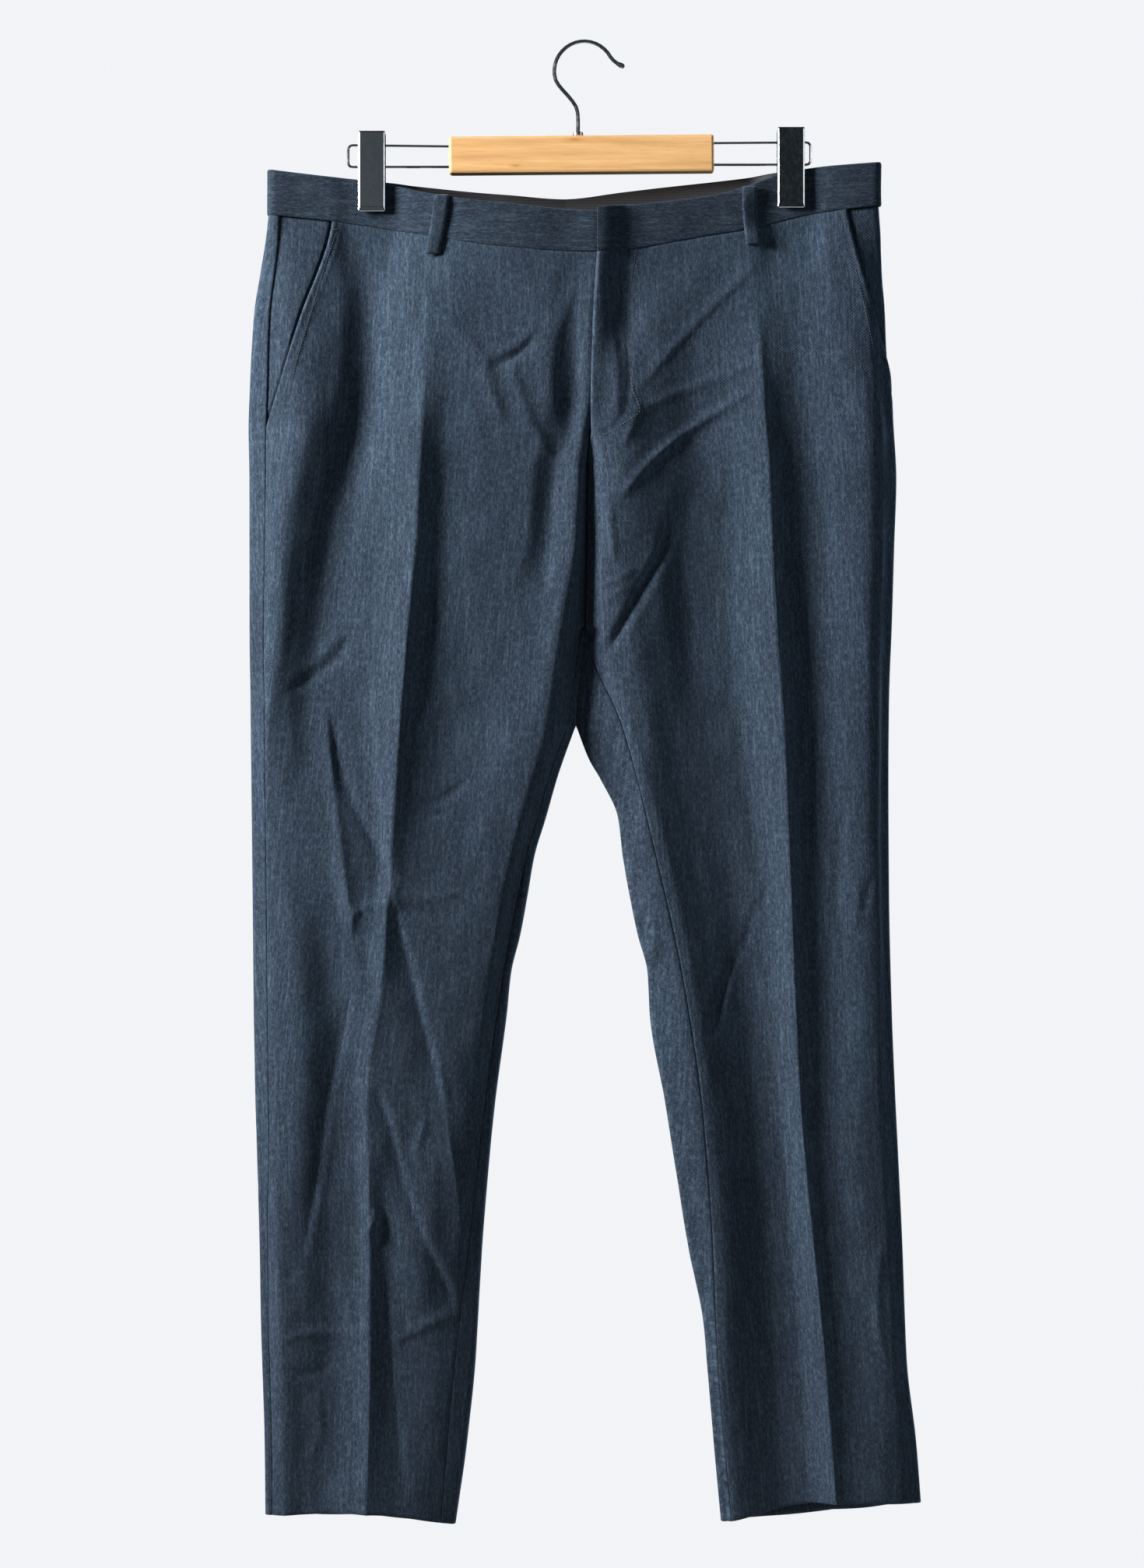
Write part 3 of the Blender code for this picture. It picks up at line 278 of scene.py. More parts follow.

# Folds, for each side and face: height (below zero for a trough), reach to either side,
# and path in x and z.
FOLDS = {
    ("right", "front"): (
        (1, 6, 5, ((-137, -186), (-109, -223), (-81, -254), (-63, -298))),
        (1, 9, 4, ((-6, -192), (-14, -217), (-22, -242), (-25, -282), (-14, -329))),
        (-2.2, 4, 4, ((-76, -261), (-60, -256), (-38, -237))),
        (1.2, 4, 4, ((-73, -251), (-54, -246), (-39, -230))),
        (1.3, 8, 4, ((-59, -256), (-52, -279), (-43, -304), (-32, -324), (-22, -341))),
        (1.6, 7, 4, ((-82, -261), (-74, -282), (-63, -307))),
        (-1, 9, 4, ((-23, -335), (-26, -366), (-28, -404), (-30, -441))),
        (-1.7, 4, 4, ((-186, -475), (-199, -494), (-218, -508), (-238, -522))),
        (0.9, 4, 4, ((-193, -473), (-211, -492), (-227, -501))),
        (1.1, 10, 5.2, ((-207, -531), (-203, -565), (-198, -609), (-193, -652), (-186, -702), (-183, -730),
         (-177, -758), (-171, -784))),
        (-0.9, 4, 4, ((-191, -593), (-184, -612), (-174, -630), (-162, -655), (-155, -671))),
        (1.6, 4, 4, ((-185, -700), (-177, -694), (-168, -691), (-157, -696))),
        (-1, 4, 4, ((-184, -712), (-179, -702), (-176, -686))),
        (1.2, 4, 4, ((-154, -683), (-137, -685), (-119, -685), (-97, -682))),
        (-1.1, 4, 4, ((-152, -694), (-131, -697), (-100, -702))),
        (-1.3, 4, 4, ((-144, -596), (-126, -609), (-109, -604), (-92, -590))),
        (-0.9, 4, 4, ((-141, -611), (-125, -619), (-107, -616))),
        (-3, 12, 4, ((-154, -690), (-147, -714), (-137, -752), (-124, -804), (-104, -888))),
        (-2.4, 13, 4, ((-186, -761), (-191, -785), (-198, -816), (-206, -855), (-211, -895), (-217, -931),
         (-226, -979))),
        (2, 4, 4, ((-176, -957), (-169, -946), (-165, -932))),
        (-1.9, 4, 4, ((-162, -931), (-160, -951), (-163, -967))),
        (-2.8, 11, 4, ((-167, -834), (-156, -864), (-144, -913), (-128, -957), (-111, -994),
         (-103, -1019))),
        (2, 8, 4, ((-117, -811), (-109, -864), (-100, -926), (-94, -988))),
        (1.2, 4, 4, ((-126, -861), (-133, -885), (-130, -902))),
        (1.3, 4, 4, ((-245, -1039), (-218, -1033), (-193, -1034), (-170, -1031))),
        (1.5, 4, 5, ((-154, -1040), (-131, -1029), (-106, -1018))),
        (-1, 4, 4, ((-252, -982), (-239, -988), (-227, -982))),
        (-1, 4, 4, ((-245, -1062), (-224, -1066), (-202, -1060))),
        (-1.6, 8, 4, ((-161, -967), (-156, -1025), (-151, -1087), (-144, -1171))),
        (0.9, 4, 4, ((-144, -1079), (-121, -1095), (-99, -1100))),
        (0.9, 5, 5, ((-218, -1081), (-211, -1106), (-219, -1137))),
    ),
    ("left", "front"): (
        (1.2, 5, 2.2, ((138, -179), (123, -194), (99, -217), (68, -251), (40, -284))),
        (1.3, 4, 3, ((146, -256), (118, -267), (80, -280), (54, -292), (40, -298))),
        (2.8, 3.4, 4.2, ((133, -282), (99, -301), (74, -318), (49, -341), (27, -368))),
        (2.2, 3, 2.6, ((19, -360), (21, -386), (24, -417))),
        (1.4, 4, 4, ((11, -438), (28, -430), (42, -421))),
        (1.3, 4, 4, ((8, -452), (23, -444), (36, -433))),
        (-4.5, 4, 5, ((67, -389), (60, -414), (44, -442), (31, -466), (16, -493))),
        (1.4, 4, 4, ((23, -233), (26, -267), (24, -304))),
        (1.5, 3, 2.6, ((44, -289), (40, -304), (31, -326))),
        (-1.3, 2, 1.6, ((36, -183), (36, -230), (36, -273), (32, -297), (22, -312), (9, -320))),
        (-3.2, 4, 4, ((134, -700), (130, -718), (118, -742), (108, -770), (103, -796))),
        (-1.2, 4, 4, ((149, -671), (141, -690), (134, -703))),
        (-1.1, 4, 4, ((230, -666), (226, -683), (224, -698))),
        (1, 4, 4, ((216, -665), (218, -690), (215, -714))),
        (2, 4, 4, ((53, -693), (57, -718), (53, -739))),
        (-1.8, 4, 4, ((38, -686), (47, -708), (44, -730))),
        (-1.6, 10, 6, ((164, -895), (156, -938), (146, -982), (139, -1028))),
        (0.9, 4, 4, ((111, -1029), (146, -1031), (181, -1025))),
        (1.3, 5, 5, ((237, -963), (234, -1013), (241, -1062))),
        (1, 5, 5, ((96, -1019), (108, -1026), (118, -1044))),
        (-1, 5, 5, ((206, -615), (202, -665), (205, -714))),
    ),
    ("right", "back"): (
        (2.6, 6.8, 6.8, ((-150, -300), (-95, -360), (-40, -430))),
        (-2.9, 6.8, 6.8, ((-60, -500), (-95, -560), (-120, -640))),
        (2.1, 5.2, 5.2, ((-215, -420), (-205, -520), (-196, -610))),
        (3.5, 6, 5.2, ((-205, -590), (-192, -660), (-184, -730))),
        (-3.2, 6, 6.8, ((-150, -690), (-132, -790), (-116, -900))),
        (-1.6, 3.8, 3.8, ((-190, -700), (-150, -712), (-115, -728))),
        (2.4, 6, 7.5, ((-214, -850), (-224, -940), (-232, -1010))),
        (-1.9, 4.5, 4.5, ((-165, -960), (-140, -1040), (-126, -1110))),
        (1.8, 7, 5, ((-60, -235), (-95, -280), (-140, -330))),
        (-1.6, 5, 5, ((-30, -400), (-62, -452), (-80, -500))),
        (1.6, 6, 5, ((-70, -470), (-110, -500), (-150, -512))),
        (-1.8, 6, 5, ((-215, -705), (-190, -735), (-160, -750))),
        (1.7, 6, 6, ((-160, -780), (-176, -850), (-200, -905))),
    ),
    ("left", "back"): (
        (2.9, 6.8, 6.8, ((150, -280), (95, -345), (45, -420))),
        (-2.6, 6, 6, ((70, -470), (100, -540), (118, -640))),
        (2.2, 6, 6, ((205, -430), (200, -540), (206, -640))),
        (-3.5, 5.2, 5.2, ((140, -700), (118, -760), (104, -830))),
        (2.9, 5.2, 5.2, ((205, -660), (196, -740), (190, -800))),
        (-1.8, 3.8, 3.8, ((120, -712), (160, -724), (205, -716))),
        (2.1, 5.2, 6, ((160, -880), (148, -980), (150, -1070))),
        (-1.6, 4.5, 4.5, ((220, -900), (226, -1000), (232, -1080))),
        (1.9, 5, 7, ((60, -235), (95, -290), (135, -335))),
        (-1.7, 5, 5, ((20, -410), (50, -455), (72, -500))),
        (1.5, 5, 6, ((60, -480), (100, -508), (140, -518))),
        (-1.7, 6, 5, ((215, -700), (190, -730), (158, -742))),
        (1.8, 6, 6, ((150, -770), (170, -840), (196, -890))),
    ),
}
# Flat falls between two lines, for each side and face: slope, how far it eases out, crest and foot lines
FACETS = {
    ("right", "front"): (
        (0.165, 12,
         ((-206, -528), (-203, -565), (-198, -609), (-193, -652), (-187, -690), (-183, -714)),
         ((-205, -528), (-197, -581), (-186, -609), (-174, -630), (-163, -655), (-157, -671))),
    ),
}

# Stitches: name, pieces they lie on, and runs of (face, path, pitch, stitch length, thread width)
STITCHES = (
    ("stitches_fly", ("front_left",), (
        ("front", ((42.0, -165.5), (36.4, -205.0), (36.4, -262.0), (39.2, -282.0)), 2.6, 1.9, 0.5),
        ("front", ((39.2, -282.0), (44.0, -297.0), (32.0, -307.0), (15.0, -317.0), (6.8, -319.0)),
         2.6, 1.9, 0.5),
    )),
    ("stitches_pocket_right", ("front_right",), (
        ("front", ((-196.5, -146.5), (-206.0, -175.0), (-217.5, -215.0), (-229.0, -255.0), (-237.0, -290.0)),
         2.4, 1.7, 0.4),
        ("front", ((-203.0, -151.0), (-197.5, -150.0)), 0.8, 1.1, 0.5),
    )),
    ("stitches_pocket_left", ("front_left",), (
        ("front", ((207.5, -140.5), (214.0, -170.0), (222.0, -205.0), (229.5, -240.0), (235.0, -275.0)),
         2.4, 1.7, 0.4),
        ("front", ((208.0, -144.5), (213.5, -144.0)), 0.8, 1.1, 0.5),
    )),
    ("stitches_loops", ("loop_front_right", "loop_front_left"), (
        ("front", ((-117.6, -123.6), (-109.6, -123.8)), 1.6, 1.1, 0.35),
        ("front", ((128.6, -116.6), (136.6, -117.2)), 1.6, 1.1, 0.35),
    )),
)

# The garment's outline seen from the front: x of the two outer edges
OUTER_EDGE = (
    # z, wearer's right, wearer's left
    (-96, -252.0, 236.5),
    (-131, -253.2, 237.8),
    (-156, -255.5, 239.4),
    (-184, -259.8, 240.3),
    (-215, -264.8, 242.7),
    (-246, -267.3, 243.9),
    (-278, -268.6, 246.4),
    (-309, -269.6, 248.5),
    (-350, -269.0, 250.6),
    (-403, -268.9, 248.9),
    (-468, -269.0, 247.0),
    (-528, -268.0, 244.8),
    (-590, -267.3, 244.3),
    (-684, -266.2, 244.8),
    (-778, -265.3, 247.0),
    (-840, -264.3, 249.5),
    (-903, -262.3, 252.6),
    (-965, -260.6, 255.5),
    (-1028, -259.6, 257.7),
    (-1060, -258.6, 259.2),
    (-1121, -256.7, 266.4),
    (-1180, -256.0, 271.0),
)
# The outline's inner edges, below the saddle where the legs part
INNER_EDGE = (
    # z, wearer's right, wearer's left
    (-548, -6.9, -6.5),
    (-575, -16.7, 4.0),
    (-590, -21.7, 12.7),
    (-621, -30.5, 27.0),
    (-652, -39.8, 30.8),
    (-684, -45.4, 36.4),
    (-715, -51.1, 42.7),
    (-746, -58.6, 50.8),
    (-778, -61.9, 52.4),
    (-850, -71.4, 64.8),
    (-903, -76.7, 73.3),
    (-965, -81.7, 83.3),
    (-1028, -85.4, 95.8),
    (-1060, -87.3, 98.5),
    (-1121, -94.0, 103.8),
    (-1187, -104.2, 110.3),
)
# The middle line where the halves meet, at the front, under the crotch and behind
CENTRE_FRONT = ((-468, 0.5), (-400, 1.8), (-340, 2.5), (-316, 4.4), (-280, 4.9), (-215, 7.1), (-165, 10.2))
CENTRE_BACK = ((-468, -3.0), (-300, -10.0), (-120, -16.8))
SADDLE_X = -6.7

# The waistband's edges
WAIST_FRONT_RIGHT = (
    # x, top of the band, waist seam
    (-254, -102.0, -138.6),
    (-205, -107.6, -143.4),
    (-170, -111.2, -148.2),
    (-122, -122.5, -156.6),
    (-92, -128.0, -162.5),
    (-60, -131.4, -166.5),
    (-17, -135.7, -169.6),
    (45, -138.0, -169.9),
)
WAIST_FRONT_LEFT = (
    (10, -134.3, -169.9),
    (32, -131.8, -168.0),
    (64, -128.4, -162.7),
    (100, -123.5, -155.5),
    (128, -116.1, -151.0),
    (155, -105.8, -144.3),
    (182, -100.6, -138.0),
    (212, -98.2, -134.3),
    (238, -96.0, -131.2),
)
WAIST_BACK = (
    (-254, -102.0, -138.6),
    (-205, -107.6, -143.6),
    (-158, -111.8, -148.0),
    (-107, -115.8, -152.0),
    (-60, -118.5, -154.8),
    (-17, -121.4, -157.6),
    (32, -116.0, -152.5),
    (64, -112.5, -149.0),
    (128, -106.9, -143.4),
    (182, -100.6, -137.0),
    (238, -96.0, -131.2),
)
# The hems' heights at the outer edge, the crease and the inner edge
HEMS = {
    # side: (front heights, back heights)
    "right": ((-1179.7, -1176.5, -1187.0), (-1179.7, -1184.0, -1187.0)),
    "left": ((-1170.0, -1169.0, -1185.0), (-1170.0, -1180.0, -1185.0)),
}

# Sections of the fronts: at each height, x and forward depth on named upright lines.
# centre is the centre front down to the crotch and the inseam below it.
FRONT_RIGHT_LINES = (
    "centre", "rise", "trough", "ridge", "flat", "shoulder", "crease", "flank", "hollow", "swell", "side",
)
FRONT_RIGHT = (
    (-165, (15.2, 16.0), (7.7, 16.8), (-9, 16.6), (-28, 17.5), (-60, 18.6), (-100, 16), (-124, 10),
     (-150, 4.4), (-173, 1.6), (-205, 3.6), (-229, 4)),
    (-215, (12.1, 16.5), (5, 18), (-9, 15.8), (-30, 18.2), (-62, 16.8), (-100, 17.5), (-124, 16),
     (-147, 11), (-174, 3.2), (-196, 8.2), (-233, 11)),
    (-280, (9.9, 16.6), (2, 18.5), (-9, 14.4), (-31, 19.6), (-66, 19), (-107, 19), (-128, 21),
     (-150, 12.6), (-176, 3.7), (-199, 12.4), (-226, 16.4)),
    (-316, (4.2, 14), (-1, 18), (-14, 14), (-36, 18), (-68, 19), (-110, 18.5), (-130, 24),
     (-156, 14), (-185, 4.3), (-207, 15.6), (-222, 19.4)),
    (-340, (2.3, 9), (-4, 19), (-26, 14.6), (-42, 18.4), (-72, 18), (-112, 17.5), (-131, 25),
     (-160, 15), (-187, 6), (-210, 14.6), (-228, 18.8)),
    (-400, (1.6, 5.5), (-7, 20), (-32, 15.3), (-47, 18.4), (-85, 18.6), (-115, 17.3), (-134, 25.5),
     (-168, 12.5), (-203, 8), (-221, 14.5), (-239, 19)),
    (-468, (0.3, 4.5), (-20, 20.8), (-37, 18), (-72, 17.4), (-97, 16.2), (-123, 15.4), (-140, 26),
     (-172, 13.5), (-212, 8.5), (-228, 13), (-242, 17)),
    (-550, (-13.5, 7), (-33, 20.5), (-55, 19.2), (-84, 15.4), (-110, 14.8), (-132, 18), (-147, 25.5),
     (-180, 12), (-222, 9.5), (-238, 12.5), (-251, 13)),
    (-650, (-45.5, 6.5), (-59, 18), (-78, 18.3), (-100, 17.9), (-118, 18.4), (-140, 20), (-154, 24),
     (-167, 17), (-205, 15), (-235, 13.5), (-252, 10.5)),
    (-750, (-65.5, 6.5), (-77, 15.8), (-92, 17.4), (-110, 19), (-128, 19.5), (-147, 19.8), (-161, 22),
     (-176, 16.3), (-203, 13.6), (-228, 18.3), (-246, 14)),
    (-850, (-79.5, 7), (-90, 13.5), (-104, 16.5), (-119, 17.5), (-135, 18), (-155, 20), (-173, 20),
     (-184, 14), (-194, 12.3), (-224, 18.2), (-245, 14.5)),
    (-950, (-91, 8), (-100, 12.5), (-112, 15.5), (-126, 18), (-140, 17), (-157, 14.5), (-171, 19),
     (-184, 12.5), (-202, 11.5), (-226, 15.5), (-243, 14.5)),
    (-1060, (-104, 9.5), (-112, 11.5), (-122, 13), (-134, 13.2), (-145, 13), (-156, 13.4), (-171, 19),
     (-184, 12.5), (-200, 9), (-222, 11.5), (-240, 13.5)),
    (-1180, (-115, 9), (-120, 10.5), (-127, 12.6), (-138, 14.8), (-150, 16.4), (-163, 18.8), (-174, 21),
     (-188, 14), (-208, 9.5), (-224, 9.5), (-238, 11)),
)
FRONT_LEFT_LINES = (
    "centre", "rise", "dip", "mound", "trough", "foot", "crease", "lee", "fall", "hollow", "swell", "side",
)
FRONT_LEFT = (
    (-165, (10.2, 19), (14, 18.7), (37, 10.4), (62, 8.8), (90, 6.8), (112, 5.2), (136, 3.8),
     (141, 3.9), (147, 3.7), (164, 3.4), (190, 4.6), (212, 5.8)),
    (-215, (7.1, 19.5), (12, 19), (32, 11.5), (58, 13.3), (88, 11.8), (112, 10.2), (139, 9.6),
     (144, 9.1), (151, 8.6), (170, 7.8), (206, 11.2), (222, 11)),
    (-280, (4.9, 19.5), (13, 19.5), (28, 20), (58, 17), (90, 12), (112, 12.5), (143, 18.6),
     (148, 16.2), (155, 14.2), (173, 11.6), (220, 17), (232, 15.4)),
    (-316, (4.6, 16), (14, 19), (32, 21), (62, 15), (88, 9.5), (112, 12), (146, 20.5),
     (151, 16.8), (157, 14.2), (174, 11.6), (226, 19.4), (236, 16.6)),
    (-340, (2.7, 9), (14, 18.5), (30, 22), (66, 15.5), (94, 10.5), (114, 12), (148, 21.5),
     (153, 17.2), (159, 14.2), (175, 11.5), (226, 19.2), (236, 16.4)),
    (-400, (2.0, 5.5), (14, 17.5), (28, 21), (56, 17.5), (82, 9.2), (108, 8.6), (150.5, 21),
     (155.5, 16.4), (162, 13.2), (177, 10.8), (226, 18.8), (236, 16)),
    (-468, (0.7, 3.5), (18, 17.5), (34, 20), (60, 15.5), (86, 7.6), (114, 8.2), (154, 21.5),
     (159, 16.6), (165, 13), (178, 10.9), (225, 18.6), (234, 15.8)),
    (-550, (30.8, 14.5), (40, 17.5), (50, 17.5), (70, 13), (92, 9.2), (120, 6.8), (160, 21.5),
     (165, 16.6), (171, 13), (183, 10.9), (225, 18), (234, 15.2)),
    (-650, (57, 14.4), (64, 14.6), (74, 12.2), (92, 7.8), (116, 4), (136, 4.6), (164, 19),
     (169, 14.6), (175, 11.6), (187, 10.1), (225, 16.2), (234, 14.2)),
    (-750, (79, 14), (85, 13.8), (93, 11.6), (110, 6.6), (128, 2.4), (146, 4.8), (168, 18),
     (173, 13.8), (179, 11.2), (191, 10), (225, 15), (235, 13.4)),
    (-850, (94, 14), (100, 13.6), (108, 11.2), (122, 5.8), (139, 1.1), (154, 2.6), (173, 17),
     (178, 13.4), (184, 11.4), (195, 10.5), (222, 13.6), (235, 12.6)),
    (-950, (102, 12.5), (108, 13), (116, 11.4), (129, 5.8), (147, 0.6), (163, 1.8), (182, 16.5),
     (187, 13), (193, 11.3), (204, 10.7), (228, 13.2), (242, 12.2)),
    (-1060, (107, 11.5), (113, 12), (121, 10.6), (135, 5.2), (154, 0.3), (171, 1.4), (193, 16.3),
     (198, 13.2), (204, 11.9), (216, 11), (235, 12.2), (247, 11.2)),
    (-1180, (118, 10.5), (123, 11), (130, 9.6), (144, 5), (162, 0.9), (180, 2.2), (201, 18),
     (206, 15.6), (212, 14.6), (228, 13.2), (241, 11.8), (253, 10)),
)
# Sections of the backs: backward depth on the same kind of lines, for both halves
BACK_LINES = ("centre", "inner", "crease", "hollow", "side")
BACK = (
    (-165, (22, 19, 9, 1.6, 4)),
    (-215, (23, 21, 16, 5, 9)),
    (-300, (21, 21, 23, 9, 15)),
    (-400, (17, 19, 26, 11, 17)),
    (-468, (14, 18, 27, 11, 16)),
    (-560, (11, 16, 27, 11, 13)),
    (-700, (9, 14, 25, 10, 11)),
    (-850, (8.5, 13, 22, 10, 10.5)),
    (-1000, (8, 12, 20, 10, 10.5)),
    (-1180, (8, 12, 20, 11, 10.5)),
)
BACK_SIDE_SHARE = 0.22
BACK_HOLLOW_SHARE = 0.52
BACK_STRIP = 26.0
SIDE_SEAM = {
    # side: (z, distance of the seam from the outer edge)
    "right": (
        (-1180, 6.0), (-960, 7.0), (-850, 11.5), (-500, 12.0),
        (-352, 14.0), (-291, 15.0), (-207, 12.0), (-139, 8.0),
    ),
    "left": ((-1180, 9.0), (-139, 9.0)),
}
# The half depth of the fold at the inner edge, in front and behind
INNER_FOLD_FRONT = ((-650, 6.2), (-468, 3.5))
INNER_FOLD_BACK = ((-620, 5.0), (-468, 14.0))


# ---------------------------------------------------------------- the shape of the cloth


def blend(start, end, share):
    return start + (end - start) * share


def ease(share):
    """0 below a share of 0, 1 above a share of 1, and smooth between."""
    held = np.clip(share, 0.0, 1.0)
    return held * held * (3.0 - 2.0 * held)


def curve_through(points):
    """A smooth curve that never overshoots, through (position, value) pairs; it takes arrays."""
    known = sorted(points)
    places = np.array([place for place, _ in known], dtype=float)
    values = np.array([value for _, value in known], dtype=float)
    steps = np.diff(places)
    slopes = np.diff(values) / steps
    tangents = np.empty(len(places))
    tangents[0] = slopes[0]
    tangents[-1] = slopes[-1]
    before = slopes[:-1]
    after = slopes[1:]
    same_way = before * after > 0.0
    total = np.where(same_way, before + after, 1.0)
    tangents[1:-1] = np.where(same_way, 2.0 * before * after / total, 0.0)

    def at(place):
        held = np.clip(place, places[0], places[-1])
        i = np.clip(np.searchsorted(places, held, side="right") - 1, 0, len(steps) - 1)
        t = (held - places[i]) / steps[i]
        start = values[i] * (1 + 2 * t) * (1 - t) ** 2 + tangents[i] * steps[i] * t * (1 - t) ** 2
        end = values[i + 1] * t * t * (3 - 2 * t) + tangents[i + 1] * steps[i] * t * t * (t - 1)
        return start + end

    return at


centre_front = curve_through(CENTRE_FRONT)
centre_back = curve_through(CENTRE_BACK)
inner_fold_front = curve_through(INNER_FOLD_FRONT)
inner_fold_back = curve_through(INNER_FOLD_BACK)


class Half:
    """One side of the trousers. `out` is the distance of a point from x = 0 towards its side."""

    def __init__(self, side, sign, lines, sections, waist_front):
        column = 1 if side == "right" else 2
        self.side = side
        self.sign = sign
        self.lines = lines
        self.clip = sign * CLIPS[side][0]
        self.outer = curve_through([(row[0], sign * row[column]) for row in OUTER_EDGE])
        self.inner = curve_through([(row[0], sign * row[column]) for row in INNER_EDGE])
        self.place = {}
        self.depth = {}
        for number, line in enumerate(lines, start=1):
            self.place[line] = curve_through([(row[0], sign * row[number][0]) for row in sections])
            self.depth[line] = curve_through([(row[0], row[number][1]) for row in sections])
        self.back_depth = {}
        for number, line in enumerate(BACK_LINES):
            self.back_depth[line] = curve_through([(row[0], row[1][number]) for row in BACK])
        self.side_seam = curve_through(SIDE_SEAM[side])
        self.band_top = {
            "front": curve_through([(row[0], row[1]) for row in waist_front]),
            "back": curve_through([(row[0], row[1]) for row in WAIST_BACK]),
        }
        self.waist_seam = {
            "front": curve_through([(row[0], row[2]) for row in waist_front]),
            "back": curve_through([(row[0], row[2]) for row in WAIST_BACK]),
        }
        hem_places = (self.outer(HEM), self.place["crease"](HEM), self.inner(HEM))
        self.hem = {
            "front": curve_through(list(zip(hem_places, HEMS[side][0]))),
            "back": curve_through(list(zip(hem_places, HEMS[side][1]))),
        }

    def height(self, face, out, z):
        """Real height of points on the nominal row z: rows bend to the waist seam and the hem."""
        if z > LEVEL:
            rise = self.waist_seam[face](self.sign * out) - WAIST
            return z + rise * (z - LEVEL) / (WAIST - LEVEL)
        if z < HEM_LEVEL:
            rise = self.hem[face](out) - HEM
            return z + rise * (z - HEM_LEVEL) / (HEM - HEM_LEVEL)
        return z + 0.0 * out

    def edge(self, z):
        """The outer edge on the nominal row z."""
        return self.outer(self.height("front", self.outer(z), z))

    def middle(self, z, share):
        """The line where the halves touch: share 0 in front, 1 behind."""
        drop = (CROTCH - z) / SADDLE_DROP
        start = blend(centre_front(CROTCH), centre_back(CROTCH), ease(share))
        below = blend(start, SADDLE_X, np.maximum(drop, 0.0))
        above = np.where(share < 0.5, centre_front(z), centre_back(z))
        return self.sign * np.where(drop > 0.0, below, above) + HALF_GAP

    def inner_edge(self, z, share):
        """The leg's inner edge; above the saddle it is the middle line."""
        return np.where(z >= CROTCH - SADDLE_DROP, self.middle(z, share), self.inner(z))

    def inner_fold(self, z):
        """Half width of the fold at the leg's inner edge, none at the crotch seam."""
        return FOLD_RADIUS * math.sqrt(min((CROTCH - z) / (CROTCH - INNER_FOLD_FULL), 1.0))

    def centre_line(self, z):
        """The front's inner boundary: the centre front, then the inseam."""
        if z > FLY_END:
            return float(self.place["centre"](z))
        if z >= CROTCH:
            return float(self.middle(z, 0.0))
        fold_end = float(self.inner_edge(z, 0.0)) + self.inner_fold(z) + INSEAM_SET_BACK
        return max(float(self.place["centre"](z)), fold_end)

    def pinched(self, out, z, depth):
        """The clips press the layers together at the waist."""
        beside = ease((np.abs(out - self.clip) - GRIP_HALF_WIDTH) / GRIP_FADE)
        below = ease((GRIP_END - z) / GRIP_END_FADE)
        return blend(blend(GRIP, depth, beside), depth, below)

    def across(self, out, z, stations, crease):
        """Depth through stations; the crease is a sharp line, so each side has its own curve."""
        inside = curve_through([station for station in stations if station[0] <= crease])(out)
        outside = curve_through([station for station in stations if station[0] >= crease])(out)
        return self.pinched(out, z, np.where(out < crease, inside, outside))

    def front_depth(self, out, z):
        """How far the front stands before the middle plane."""
        stations = [(self.centre_line(z), float(self.depth["centre"](z)))]
        stations += [(float(self.place[line](z)), float(self.depth[line](z))) for line in self.lines[1:]]
        stations.append((float(self.edge(z)) - FOLD_RADIUS, FOLD_RADIUS))
        if z < CROTCH:
            fold_end = float(self.inner_edge(z, 0.0)) + self.inner_fold(z)
            stations.append((fold_end, float(inner_fold_front(z))))
        return self.across(out, z, stations, float(self.place["crease"](z)))

    def back_places(self, z):
        """Where the back's upright lines are on the nominal row z."""
        edge = float(self.edge(z))
        crease = float(self.place["crease"](z))
        if z >= CROTCH:
            centre = float(self.middle(z, 1.0))
        else:
            strip = BACK_STRIP * float(ease((CROTCH - z) / SADDLE_DROP))
            reach = max(strip, self.inner_fold(z) + INSEAM_SET_BACK)
            centre = float(self.inner_edge(z, 1.0)) + reach
        return {
            "centre": centre,
            "inner": blend(centre, crease, 0.5),
            "crease": crease,
            "hollow": blend(edge, crease, BACK_HOLLOW_SHARE),
            "side": blend(edge, crease, BACK_SIDE_SHARE),
        }

    def back_depth_at(self, out, z):
        """How far the back stands behind the middle plane."""
        places = self.back_places(z)
        stations = [(places[line], float(self.back_depth[line](z))) for line in BACK_LINES]
        stations.append((float(self.edge(z)) - FOLD_RADIUS, FOLD_RADIUS))
        if z < CROTCH:
            fold_end = float(self.inner_edge(z, 1.0)) + self.inner_fold(z)
            stations.append((fold_end, float(inner_fold_back(z))))
        return self.across(out, z, stations, places["crease"])

